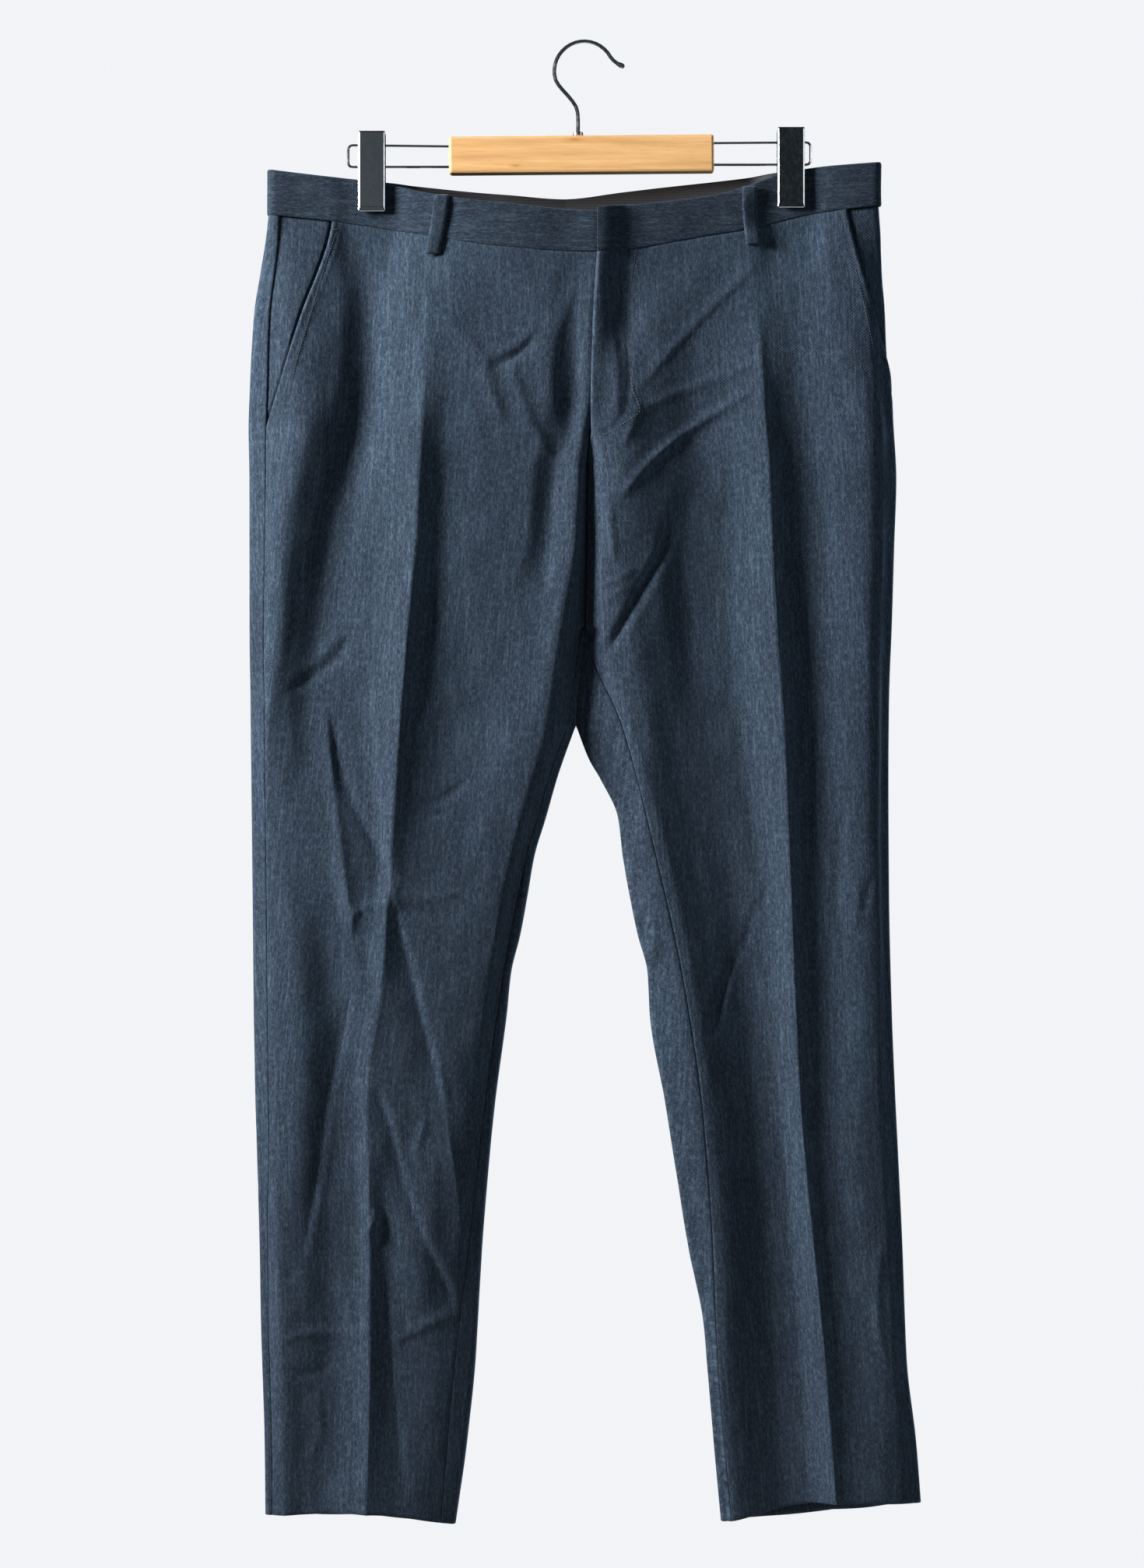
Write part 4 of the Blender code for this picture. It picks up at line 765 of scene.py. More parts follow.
    def inner_zone(self, z, shares):
        """From behind, round the inner edge of the leg, to the inseam in front."""
        dip = SADDLE_DROP * max(0.0, 1.0 - (CROTCH - z) / SADDLE_FADE) ** 2
        settled = float(np.clip((CROTCH - z) / SADDLE_SETTLE, 0.0, 1.0))
        fold = self.inner_fold(z)
        behind = self.back_places(z)["centre"] - float(self.inner_edge(z, 1.0))
        in_front = self.centre_line(z) - float(self.inner_edge(z, 0.0))
        back = shares > 0.5
        reach = np.where(back, behind, in_front)
        wide = np.where(back, float(inner_fold_back(z)), float(inner_fold_front(z)))
        away_from_edge = np.abs(shares - 0.5) * 2.0
        turn = np.clip(away_from_edge * 2.0, 0.0, 1.0) * math.pi / 2
        flat = np.clip(away_from_edge * 2.0 - 1.0, 0.0, 1.0)
        away = fold * (1.0 - np.cos(turn)) + (reach - fold) * flat
        out = self.inner_edge(z, shares) + away
        on_face = np.where(back, self.back_depth_at(out, z), self.front_depth(out, z))
        depth = np.where(flat > 0.0, on_face, wide * np.sin(turn))
        settled = np.maximum(settled, away_from_edge**3)
        depth = blend(wide * np.abs(np.cos(math.pi * shares)), depth, settled)
        lowered = z - dip * np.sin(math.pi * shares)
        out = self.inner_edge(lowered, shares) + away * settled
        heights = lowered
        if z < HEM_LEVEL:
            heights = np.where(back, self.height("back", out, z), self.height("front", out, z))
        return out, np.where(back, depth, -depth), heights

    def flat_run(self, face, start, end, z):
        """Points across one face on the nominal row z."""
        outs = np.linspace(start, end, FLAT_POINTS)
        depth = self.front_depth(outs, z) if face == "front" else self.back_depth_at(outs, z)
        return outs, FORWARD[face] * depth, self.height(face, outs, z)

    def side_run(self, edge, z):
        """Points round the fold at the outer edge, from the front to the back."""
        turn = np.linspace(0.0, math.pi, SIDE_POINTS)
        outs = edge - FOLD_RADIUS * (1.0 - np.sin(turn))
        return outs, -FOLD_RADIUS * np.cos(turn), self.height("front", outs, z)

    def ring(self, z):
        """The ring on the nominal row z: its points, their distances along it, and marks among those."""
        edge = float(self.edge(z))
        crease = float(self.place["crease"](z))
        centre = self.centre_line(z)
        behind = self.back_places(z)["centre"]
        runs = [
            self.flat_run("front", centre, crease, z),
            self.flat_run("front", crease, edge - FOLD_RADIUS, z),
            self.side_run(edge, z),
            self.flat_run("back", edge - FOLD_RADIUS, crease, z),
            self.flat_run("back", crease, behind, z),
        ]
        if z <= CROTCH:
            runs.append(self.inner_zone(z, np.linspace(1.0, 0.0, INNER_POINTS)))
        # each run begins where the one before it ends
        runs = [np.stack(run, axis=1)[min(number, 1) :] for number, run in enumerate(runs)]
        points = np.concatenate(runs)
        lengths = np.linalg.norm(np.diff(points[:, :2], axis=0), axis=1)
        along = np.concatenate([[0.0], np.cumsum(np.maximum(lengths, 1e-6))])
        counts = np.cumsum([len(run) for run in runs])
        marks = {
            "crease": along[counts[0] - 1],
            "edge": along[counts[1] + SIDE_POINTS // 2 - 1],
            "back_crease": along[counts[3] - 1],
            "centre_back": along[counts[4] - 1],
            "end": along[-1],
        }
        seam_out = edge - float(self.side_seam(z))
        part = slice(counts[0] - 1, counts[1]) if self.side == "right" else slice(counts[2] - 1, counts[3])
        outs = points[part, 0]
        order = np.argsort(outs)
        marks["seam"] = np.interp(seam_out, outs[order], along[part][order])
        points[:, 0] *= self.sign
        seam_height = pick(points, along, np.array([marks["seam"]]))[0, 2]
        marks["mouth"] = marks["seam"] - self.mouth(seam_height)
        return points, along, marks

    def mouth(self, seam_height):
        """Distance along the ring from the side seam to the edge of the pocket mouth."""
        top = float(self.waist_seam["front"](self.sign * float(self.edge(WAIST))))
        fallen = (top - seam_height) / (top - POCKET_END)
        return POCKET_WIDTH * (1.0 - float(np.clip(fallen, 0.0, 1.0)) ** POCKET_BEND)


def pick(points, along, places):
    """The points of a ring at given distances along it."""
    return np.stack([np.interp(places, along, points[:, axis]) for axis in range(3)], axis=1)


def folds_on(side, face, x, z):
    """Height of the listed folds at points of one face."""
    height = np.zeros_like(x)
    for rise, left, right, path in FOLDS[side, face]:
        px, pz = smooth_path(path)
        margin = FOLD_FOOT * max(left, right)
        near = (x > px.min() - margin) & (x < px.max() + margin)
        near &= (z > pz.min() - margin) & (z < pz.max() + margin)
        if near.any():
            height[near] += rise * fold_profile(x[near], z[near], px, pz, left, right)
    for slope, reach, crest, foot in FACETS.get((side, face), ()):
        height += facet_profile(x, z, crest, foot, slope, reach)
    return height


def smooth_path(path):
    """A Catmull-Rom curve through a fold's points, as two arrays."""
    points = np.array(path, dtype=float)
    padded = np.vstack([2 * points[0] - points[1], points, 2 * points[-1] - points[-2]])
    t = np.linspace(0.0, 1.0, 9)[:-1, None]
    pieces = []
    for i in range(len(points) - 1):
        a, b, c, d = padded[i : i + 4]
        second = 2 * a - 5 * b + 4 * c - d
        third = 3 * b - a - 3 * c + d
        pieces.append(0.5 * (2 * b + (c - a) * t + second * t**2 + third * t**3))
    curve = np.vstack(pieces + [points[-1:]])
    return curve[:, 0], curve[:, 1]


def beside_path(x, z, px, pz):
    """Distance from a path, positive on the +X side of one that runs down, and the share of it passed."""
    best = np.full(x.shape, np.inf)
    signed = np.zeros(x.shape)
    share = np.zeros(x.shape)
    last = len(px) - 1
    for i in range(last):
        ax, az, bx, bz = px[i], pz[i], px[i + 1], pz[i + 1]
        length = math.hypot(bx - ax, bz - az)
        t = np.clip(((x - ax) * (bx - ax) + (z - az) * (bz - az)) / length**2, 0.0, 1.0)
        dx = x - (ax + (bx - ax) * t)
        dz = z - (az + (bz - az) * t)
        away = np.hypot(dx, dz)
        nearer = away < best
        best = np.where(nearer, away, best)
        signed = np.where(nearer, np.sign((bx - ax) * dz - (bz - az) * dx) * away, signed)
        share = np.where(nearer, (i + t) / last, share)
    return signed, share


def fold_profile(x, z, px, pz, left, right):
    """A soft ridge: left and right are its reach to either side, and it fades at both ends."""
    signed, share = beside_path(x, z, px, pz)
    reach = np.where(signed < 0.0, left, right)
    across = np.clip(1.0 - np.abs(signed) / (FOLD_FOOT * reach), 0.0, 1.0) ** FOLD_ROUND
    ends = 1.0 - np.abs(2.0 * share - 1.0) ** FOLD_END
    return across * np.clip(ends, 0.0, 1.0)


def facet_profile(x, z, crest, foot, slope, reach):
    """A flat fall from a crest line to a foot line, easing out beyond both."""
    crest_x, crest_z = smooth_path(crest)
    foot_x, foot_z = smooth_path(foot)
    from_crest, share = beside_path(x, z, crest_x, crest_z)
    from_foot, foot_share = beside_path(x, z, foot_x, foot_z)
    turns = np.linspace(0.0, 1.0, len(crest_x))
    foot_turns = np.linspace(0.0, 1.0, len(foot_x))
    gap = np.hypot(
        np.interp(turns, foot_turns, foot_x) - crest_x,
        np.interp(turns, foot_turns, foot_z) - crest_z,
    )
    rise = 0.5 * slope * np.interp(0.5 * (share + foot_share), turns, gap)
    between = (from_crest > 0.0) & (from_foot < 0.0)
    over = np.abs(from_crest) + np.abs(from_foot) + 1e-6
    inside = 1.0 - 2.0 * np.abs(from_crest) / over
    above = np.clip(1.0 - np.abs(from_crest) / reach, 0.0, 1.0) ** FOLD_ROUND
    below = -np.clip(1.0 - np.abs(from_foot) / reach, 0.0, 1.0) ** FOLD_ROUND
    across = np.where(between, inside, np.where(from_crest <= 0.0, above, below))
    ends = 1.0 - np.abs(2.0 * share - 1.0) ** FACET_END
    return rise * across * np.clip(ends, 0.0, 1.0)


# ---------------------------------------------------------------- meshes


def new_object(name, mesh, material):
    mesh.materials.append(material)
    thing = bpy.data.objects.new(name, mesh)
    bpy.context.scene.collection.objects.link(thing)
    return thing


def object_from(grid, name, material):
    """An object from a bmesh, which is freed."""
    mesh = bpy.data.meshes.new(name)
    grid.to_mesh(mesh)
    grid.free()
    return new_object(name, mesh, material)


def grid_object(name, blocks, material, thickness, flip):
    """A cloth piece from blocks: points (rows, columns, xyz) and places on the cloth (rows, columns, uv).

    Blocks share the vertices on their borders whose points are the same.
    """
    points, places, faces = [], [], []
    known = {}
    for block, cloth in blocks:
        rows, columns = block.shape[:2]
        numbers = np.empty((rows, columns), dtype=int)
        for r in range(rows):
            for c in range(columns):
                border = r in (0, rows - 1) or c in (0, columns - 1)
                key = tuple(np.round(block[r, c], 4)) if border and len(blocks) > 1 else len(points)
                if key not in known:
                    known[key] = len(points)
                    points.append(tuple(block[r, c] * MM))
                numbers[r, c] = known[key]
        corners = [numbers[:-1, :-1], numbers[:-1, 1:], numbers[1:, 1:], numbers[1:, :-1]]
        spots = [cloth[:-1, :-1], cloth[:-1, 1:], cloth[1:, 1:], cloth[1:, :-1]]
        if flip:
            corners.reverse()
            spots.reverse()
        faces += np.stack(corners, axis=-1).reshape(-1, 4).tolist()
        places.append(np.stack(spots, axis=2).reshape(-1, 2))
    mesh = bpy.data.meshes.new(name)
    mesh.from_pydata(points, [], faces)
    layer = mesh.uv_layers.new(name="grain")
    layer.data.foreach_set("uv", (np.concatenate(places) * MM).astype(np.float32).ravel())
    mesh.shade_smooth()
    thing = new_object(name, mesh, material)
    wall = thing.modifiers.new("wall", "SOLIDIFY")
    wall.thickness = thickness * MM
    wall.offset = -1.0
    return thing


def normals_of(block, sign):
    """Outward unit normals of a block of points."""
    normals = np.cross(np.gradient(block, axis=0), np.gradient(block, axis=1)) * sign
    return normals / np.maximum(np.linalg.norm(normals, axis=2, keepdims=True), 1e-9)


def columns_between(start, end, count, edge_start, edge_end):
    """Distances along a ring, with fine columns beside an edge that is turned in."""
    fine = np.array(EDGE_COLUMNS)
    first = start + fine if edge_start else np.array([start])
    last = end - fine[::-1] if edge_end else np.array([end])
    inner = np.linspace(first[-1], last[0], count + 1)[1:-1]
    return np.concatenate([first, inner, last])


def undulation(side, x, z):
    """The cloth's own slight unevenness: long and short crossed waves, which differ on the two sides."""
    shift = 0.0 if side == "right" else 2.1
    wave = np.sin(x * 0.061 + z * 0.013 + shift) * np.sin(z * 0.031 - x * 0.017 + 1.7 * shift)
    small = np.sin(x * 0.17 - z * 0.043 + shift) * np.sin(z * 0.083 + x * 0.029 + 0.6)
    return WAVE_HEIGHT * wave + SMALL_WAVE_HEIGHT * small


def relief(side, block):
    """Height of folds and unevenness at points of a block, none where the cloth turns round an edge."""
    x, y, z = block[..., 0], block[..., 1], block[..., 2]
    front = folds_on(side, "front", x, z)
    back = folds_on(side, "back", x, z)
    height = np.where(y < 0.0, front, back) + undulation(side, x, z)
    return height * np.clip((np.abs(y) - RELIEF_START) / RELIEF_RISE, 0.0, 1.0)


def near_edge(distance, width):
    """1 at an edge, falling to 0 at a width from it."""
    return np.clip(1.0 - distance / width, 0.0, 1.0)


def dressed(half, block, from_seam, from_mouth=None, from_fly=None):
    """A block with its folds, and its edges turned in; also its normals."""
    normals = normals_of(block, half.sign)
    height = relief(half.side, block) * ease(from_seam / RELIEF_SEAM_FADE)
    height -= SEAM_DIP * near_edge(from_seam, SEAM_HALF_WIDTH) ** 2
    if from_mouth is not None:
        height += MOUTH_PROUD * near_edge(from_mouth, MOUTH_PROUD_WIDTH) ** 0.5
        height -= MOUTH_ROLL * near_edge(from_mouth, MOUTH_ROLL_WIDTH) ** 2
        height -= STITCH_DIP * np.exp(-((from_mouth - MOUTH_STITCH) / STITCH_DIP_WIDTH) ** 2)
    if from_fly is not None:
        height += FLY_PROUD * near_edge(from_fly, FLY_PROUD_WIDTH) ** 0.5
        height -= (FLY_PROUD + FLY_EDGE) * near_edge(from_fly, FLY_EDGE_WIDTH) ** 2
    return block + normals * height[..., None], normals


def hemmed(block, cloth, normals):
    """A block with its lowest rows turned up inside."""
    rows, places = [block], [cloth]
    for inward, drop, up in HEM_TURN:
        row = block[-1 - up] - normals[-1 - up] * inward
        row[:, 2] -= drop
        rows.append(row[None])
        place = cloth[-1 - up].copy()
        place[:, 1] = 2.0 * cloth[-1, :, 1] - cloth[-1 - up, :, 1] - inward
        places.append(place[None])
    return np.concatenate(rows), np.concatenate(places)


def topped(block, cloth, normals):
    """A block with its highest row carried up behind the waistband."""
    row = block[0] - normals[0] * BEHIND_BAND
    row[:, 2] += UP_BEHIND_BAND
    spot = cloth[0].copy()
    spot[:, 1] += UP_BEHIND_BAND
    return np.concatenate([row[None], block]), np.concatenate([spot[None], cloth])


def on_cloth(places, heights):
    """Places on the cloth: the distance round it, and the nominal height of the row."""
    return np.stack([places, np.broadcast_to(np.asarray(heights)[:, None], places.shape)], axis=2)


def front_row(half, z, points, along, marks):
    """A row of the front: points, places on the cloth, distances from seams, pocket mouth and fly."""
    crease, mouth = marks["crease"], marks["mouth"]
    places = np.concatenate([
        columns_between(0.0, crease, FRONT_COLUMNS, True, False),
        columns_between(crease, mouth, FRONT_COLUMNS, False, True)[1:],
    ])
    nowhere = np.full(len(places), FAR)
    at_pocket = z > POCKET_END
    to_mouth = mouth - places
    to_side = nowhere if at_pocket else np.maximum(to_mouth, SIDE_SEAM_SOFT[half.side])
    at_fly = half.side == "left" and z > FLY_END
    return (
        pick(points, along, places),
        places - crease,
        np.minimum(places, to_side),
        to_mouth if at_pocket else nowhere,
        places if at_fly else nowhere,
    )


def back_columns(marks):
    """Distances along a ring from the side seam to the centre of the back."""
    return np.concatenate([
        columns_between(marks["seam"], marks["back_crease"], BACK_COLUMNS, True, False),
        columns_between(marks["back_crease"], marks["centre_back"], BACK_COLUMNS, False, True)[1:],
    ])


def hip_row(points, along, marks):
    """A row of the back above the crotch: points, places on the cloth, distance from seams."""
    places = back_columns(marks)
    to_seam = np.minimum(places - marks["seam"], marks["centre_back"] - places)
    return pick(points, along, places), places - marks["back_crease"], to_seam


def leg_row(z, points, along, marks):
    """A row of the back below the crotch, which goes on round the inner edge to the inseam."""
    centre, end = marks["centre_back"], marks["end"]
    inner = columns_between(centre, end, INSEAM_COLUMNS, False, True)[1:]
    places = np.concatenate([back_columns(marks), inner])
    to_seam = np.minimum(places - marks["seam"], end - places)
    to_crotch = np.where(places > centre - 1.0, CROTCH - z, FAR)
    return pick(points, along, places), places - marks["back_crease"], np.minimum(to_seam, to_crotch)


def facing_row(points, along, marks):
    """A row of the pocket facing: points, places on the cloth, distance past the mouth in dive widths."""
    mouth, end = marks["mouth"], marks["seam"] + FACING_PAST_SEAM
    beyond = mouth + min(FACING_DIVE_WIDTH, FACING_DIVE_SHARE * (end - mouth))
    under, diving, flat = FACING_COLUMNS
    places = np.concatenate([
        np.linspace(mouth - FACING_UNDERLAP, mouth, under)[:-1],
        np.linspace(mouth, beyond, diving)[:-1],
        np.linspace(beyond, end, flat),
    ])
    return pick(points, along, places), places - marks["crease"], (places - mouth) / FACING_DIVE_WIDTH


def gathered(rows):
    """Rows of several arrays each, as one array of each kind."""
    return [np.array(part) for part in zip(*rows)]


def build_half(half, wool):
    """Front, back and pocket facing of one half."""
    upper = np.linspace(WAIST, CROTCH, HIP_ROWS)
    lower = np.linspace(CROTCH, HEM, LEG_ROWS)
    heights = np.concatenate([upper, lower[1:]])
    rings = [(z, *half.ring(z)) for z in heights]
    flip = half.sign > 0

    block, cloth, to_seam, to_mouth, to_fly = gathered(front_row(half, *ring) for ring in rings)
    block, normals = dressed(half, block, to_seam, to_mouth, to_fly)
    block, cloth = hemmed(block, on_cloth(cloth, heights), normals)
    block, cloth = topped(block, cloth, normals)
    front = grid_object("cloth_front_" + half.side, [(block, cloth)], wool, CLOTH, flip)

    block, cloth, to_seam = gathered(hip_row(*ring) for z, *ring in rings if z >= CROTCH)
    block, normals = dressed(half, block, to_seam)
    hip_block, hip_cloth = topped(block, on_cloth(cloth, upper), normals)
    block, cloth, to_seam = gathered(leg_row(z, *ring) for z, *ring in rings if z <= CROTCH)
    block, normals = dressed(half, block, to_seam)
    inner = hip_block.shape[1]
    block[0, :inner] = hip_block[-1]
    cloth = on_cloth(cloth, lower)
    cloth[:, inner:, 0] = block[:, inner:, 0] + INNER_GRAIN_SLANT * block[:, inner:, 1]
    cloth[:, inner:, 1] = block[:, inner:, 2]
    blocks = [(hip_block, hip_cloth), hemmed(block, cloth, normals)]
    back = grid_object("cloth_back_" + half.side, blocks, wool, CLOTH, flip)

    block, cloth, outside = gathered(
        facing_row(*ring) for z, *ring in rings if z >= POCKET_END - FACING_BELOW_MOUTH
    )
    behind = FACING_BEHIND + FACING_DIVE * (1.0 - ease(outside))
    block = block - normals_of(block, half.sign) * behind[..., None]
    cloth = on_cloth(cloth, upper[: len(block)])
    facing = grid_object("cloth_pocket_facing_" + half.side, [(block, cloth)], wool, CLOTH, flip)
    return front, back, facing


def shifted(path, sign, distance):
    """A ring's points moved level and square to it; a positive distance is outwards."""
    along = np.gradient(path, axis=0)
    outward = np.stack([along[:, 1], -along[:, 0], np.zeros(len(path))], axis=1) * sign
    outward /= np.maximum(np.linalg.norm(outward, axis=1, keepdims=True), 1e-9)
    return path + outward * distance


def lengths_along(path):
    """Level distance of each point of a path from its first."""
    return np.concatenate([[0.0], np.cumsum(np.linalg.norm(np.diff(path[:, :2], axis=0), axis=1))])


def band_rows(path, foot, top, profile, sign):
    """Rows of a band along a path, each at a share of its height and a distance outwards."""
    rows = []
    for share, offset in profile:
        row = shifted(path, sign, offset)
        row[:, 2] = blend(foot, top, share)
        rows.append(row)
    return np.array(rows)


def along_band(block, lengths):
    """Places on the cloth of a band, whose grain runs along it."""
    return np.stack([block[..., 2], np.broadcast_to(lengths, block.shape[:2])], axis=2)


def with_underlap(outside, other):
    """The right band's path, begun by the underlap behind the other half's tab."""
    points, _, _ = other.ring(WAIST)
    front = points[: 2 * FLAT_POINTS - 1]
    order = np.argsort(front[:, 0])
    xs = np.arange(UNDERLAP_END, outside[0, 0] + UNDERLAP_CLEAR, -2.0)
    ys = np.interp(xs, front[order, 0], front[order, 1])
    behind = BAND_CLOTH + UNDERLAP_BEHIND - BAND_PROUD
    under = np.stack([xs, ys + behind, np.zeros(len(xs))], axis=1)
    return np.concatenate([under, outside])


def band_columns(marks):
    """Distances along the waist's ring from the centre front round the side to the centre back."""
    return np.concatenate([
        columns_between(0.0, marks["edge"], BAND_COLUMNS, True, False),
        columns_between(marks["edge"], marks["centre_back"], BAND_COLUMNS, False, True)[1:],
    ])


def build_band(half, other, wool):
    """Waistband of one half."""
    points, along, marks = half.ring(WAIST)
    path = shifted(pick(points, along, band_columns(marks)), half.sign, BAND_PROUD)
    if half.side == "right":
        path = with_underlap(path, other)
    in_front = path[:, 1] < 0.0
    x = path[:, 0]
    foot = np.where(in_front, half.waist_seam["front"](x), half.waist_seam["back"](x)) + BAND_OVER_SEAM
    top = np.where(in_front, half.band_top["front"](x), half.band_top["back"](x))
    block = band_rows(path, foot, top, BAND_PROFILE, half.sign)
    lengths = lengths_along(path)
    # the turned edges keep clear of the relief, which is finer here than on the legs
    flat = slice(4, -4)
    height = undulation(half.side, block[..., 0] * 1.6, block[..., 2] * 2.0)[flat]
    height = BAND_RELIEF * height * ease(lengths / BAND_RELIEF_FADE)
    block[flat] += normals_of(block[flat], half.sign) * height[..., None]
    blocks = [(block, along_band(block, lengths))]
    return grid_object("cloth_waistband_" + half.side, blocks, wool, BAND_CLOTH - CLOTH, half.sign > 0)


def build_lining(half, material):
    """Lining inside the back of one half's waistband."""
    points, along, marks = half.ring(WAIST)
    path = pick(points, along, band_columns(marks))
    inside = shifted(path, half.sign, BAND_PROUD - BAND_CLOTH - LINING_BEHIND)[path[:, 1] > LINING_EDGE]
    foot = half.waist_seam["back"](inside[:, 0])
    top = half.band_top["back"](inside[:, 0])
    block = band_rows(inside, foot, top, [(share, 0.0) for share in LINING_SHARES], half.sign)
    blocks = [(block, along_band(block, lengths_along(inside)))]
    return grid_object("cloth_lining_" + half.side, blocks, material, LINING_CLOTH, half.sign > 0)


# ---------------------------------------------------------------- loops, stitches, clips


def surface_tree(things):
    """A tree for casting rays onto the outer faces of some pieces."""
    points, faces = [], []
    for thing in things:
        base = len(points)
        points += [vertex.co.copy() for vertex in thing.data.vertices]
        faces += [[base + i for i in polygon.vertices] for polygon in thing.data.polygons]
    return BVHTree.FromPolygons(points, faces)


def on_surface(tree, face, x, z):
    """Point and outward direction of the cloth in front of, or behind, a place in the XZ plane."""
    forward = FORWARD[face]
    start = Vector((x * MM, forward * RAY_START, z * MM))
    hit, normal, _, _ = tree.ray_cast(start, Vector((0.0, -forward, 0.0)))
    if hit is None:
        return None, None
    if normal.y * forward < 0.0:
        normal = -normal
    return hit, normal


def dense(path, step):
    """Places every step along a path in x and z."""
    px, pz = smooth_path(path) if len(path) > 2 else np.array(path, dtype=float).T
    along = np.concatenate([[0.0], np.cumsum(np.hypot(np.diff(px), np.diff(pz)))])
    places = np.arange(step / 2, along[-1], step)
    return np.stack([np.interp(places, along, px), np.interp(places, along, pz)], axis=1)


def bridge(grid, rings):
    """Faces between rings of vertices, each joined to the next."""
    count = len(rings[0])
    for before, after in zip(rings, rings[1:]):
        for i in range(count):
            j = (i + 1) % count
            grid.faces.new((before[i], before[j], after[j], after[i]))


def add_dash(grid, hit, along, normal, length, width):
    """One stitch: a small rounded dash lying on the cloth."""
    along = (along - normal * along.dot(normal)).normalized()
    over = along.cross(normal)
    rings = []
    for share, size in STITCH_PROFILE:
        ring = []
        for a, b in STITCH_SECTION:
            lift = STITCH_LIFT * width * (1.2 if size == 1.0 else 0.3)
            point = hit + along * (share * length) + over * (0.5 * a * size * width)
            ring.append(grid.verts.new(point + normal * (0.5 * b * size * width + lift)))
        rings.append(ring)
    bridge(grid, rings)
    grid.faces.new(rings[0][::-1])
    grid.faces.new(rings[-1])


def add_stitches(name, tree, runs, thread):
    """Rows of stitches: each run is (face, path, pitch, stitch length, thread width)."""
    grid = bmesh.new()
    for face, path, pitch, length, width in runs:
        places = dense(path, pitch)
        for i, (x, z) in enumerate(places):
            hit, normal = on_surface(tree, face, x, z)
            start, _ = on_surface(tree, face, *places[max(i - 1, 0)])
            end, _ = on_surface(tree, face, *places[min(i + 1, len(places) - 1)])
            if hit is None or start is None or end is None or start == end:
                continue
            add_dash(grid, hit, (end - start).normalized(), normal, length * MM, width * MM)
    bmesh.ops.recalc_face_normals(grid, faces=grid.faces)
    stitches = object_from(grid, name, thread)
    stitches.data.shade_smooth()
    return stitches


def build_loop(name, halves, wool):
    """A belt loop: a strip that stands off the band, tucked in at both ends."""
    side, face, top, foot, skew, twist = LOOPS[name]
    half = halves[side]
    forward = FORWARD[face]
    depth_at = half.front_depth if face == "front" else half.back_depth_at
    across, sunk = np.array(LOOP_SECTION).T
    rows, spots = [], []
    for share in LOOP_SHARES:
        held = min(max(share, 0.0), 1.0)
        tucked = share != held
        centre = blend(top[0], foot[0], held) + skew * math.sin(math.pi * held)
        z = blend(top[1], foot[1], held)
        rise = min(ease(held / LOOP_RISE_TOP), ease((1.0 - held) / LOOP_RISE_FOOT))
        standoff = blend(LOOP_SEWN, LOOP_STANDOFF, float(rise)) - (LOOP_TUCK if tucked else 0.0)
        width = LOOP_WIDTH / 2 * (1.0 + LOOP_WOBBLE * math.sin(5.0 * held))
        xs = centre + across * width
        depths = [
            float(depth_at(half.sign * x, min(z - float(half.waist_seam[face](x)) + WAIST, WAIST)))
            for x in (xs[0], centre, xs[-1])
        ]
        depth = max(depths) + BAND_PROUD + standoff
        turn = twist * across * math.sin(math.pi * min(held * 1.2, 1.0))
        height = z + math.copysign(LOOP_END_DROP, held - share) if tucked else z
        rows.append(np.stack([xs, forward * (depth + turn - sunk), np.full(len(xs), height)], axis=1))
        spots.append(np.stack([across * width + forward * LOOP_GRAIN_SHIFT, np.full(len(xs), z)], axis=1))
    blocks = [(np.array(rows), np.array(spots))]
    return grid_object("cloth_" + name, blocks, wool, CLOTH, face == "back")


def build_plate(name, middle_x, top, forward, chrome):
    """A clip's plate: a dark mirror face in a bevelled rim, with a ledge along its lower edge."""
    grid = bmesh.new()
    rings = []
    for inset, out, lift in PLATE_PROFILE:
        half_width = CLIP_WIDTH / 2 - inset
        low = top - CLIP_HEIGHT + inset + lift
        high = top - inset
        corner = max(PLATE_CORNER - 0.3 * inset, 0.15)
        ring = []
        for sx, sz, start in ((1, 1, 0), (-1, 1, 90), (-1, -1, 180), (1, -1, 270)):
            cx = middle_x + sx * (half_width - corner)
            cz = (high - corner) if sz > 0 else (low + corner)
            for step in range(4):
                angle = math.radians(start + 30.0 * step)
                point = (cx + corner * math.cos(angle), forward * out, cz + corner * math.sin(angle))
                ring.append(grid.verts.new(Vector(point) * MM))
        rings.append(ring)
    bridge(grid, rings)
    grid.faces.new(rings[0])
    grid.faces.new(rings[-1])
    bmesh.ops.recalc_face_normals(grid, faces=grid.faces)
    plate = object_from(grid, name, chrome)
    edge = plate.modifiers.new("edge", "BEVEL")
    edge.width = PLATE_BEVEL * MM
    edge.segments = 2
    edge.limit_method = "ANGLE"
    edge.angle_limit = math.radians(12.0)
    return plate


# ---------------------------------------------------------------- materials


def new_material(name, roughness, **constants):
    """A material with its node tree and shader; the constants are the shader's sockets, _ for a space."""
    material = bpy.data.materials.new(name)
    material.use_nodes = True
    tree = material.node_tree
    shader = tree.nodes["Principled BSDF"]
    shader.inputs["Roughness"].default_value = roughness
    for key, value in constants.items():
        shader.inputs[key.replace("_", " ")].default_value = value
    return material, tree, shader


def spots(tree, source, scale, detail=2.0, roughness=0.5, shift=0.0):
    """Noise on coordinates stretched by scale."""
    mapping = tree.nodes.new("ShaderNodeMapping")
    mapping.inputs["Scale"].default_value = scale
    mapping.inputs["Location"].default_value = (shift, shift * 0.7, shift * 0.3)
    tree.links.new(source, mapping.inputs["Vector"])
    noise = tree.nodes.new("ShaderNodeTexNoise")
    noise.inputs["Scale"].default_value = 1.0
    noise.inputs["Detail"].default_value = detail
    noise.inputs["Roughness"].default_value = roughness
    tree.links.new(mapping.outputs["Vector"], noise.inputs["Vector"])
    return noise.outputs["Fac"]


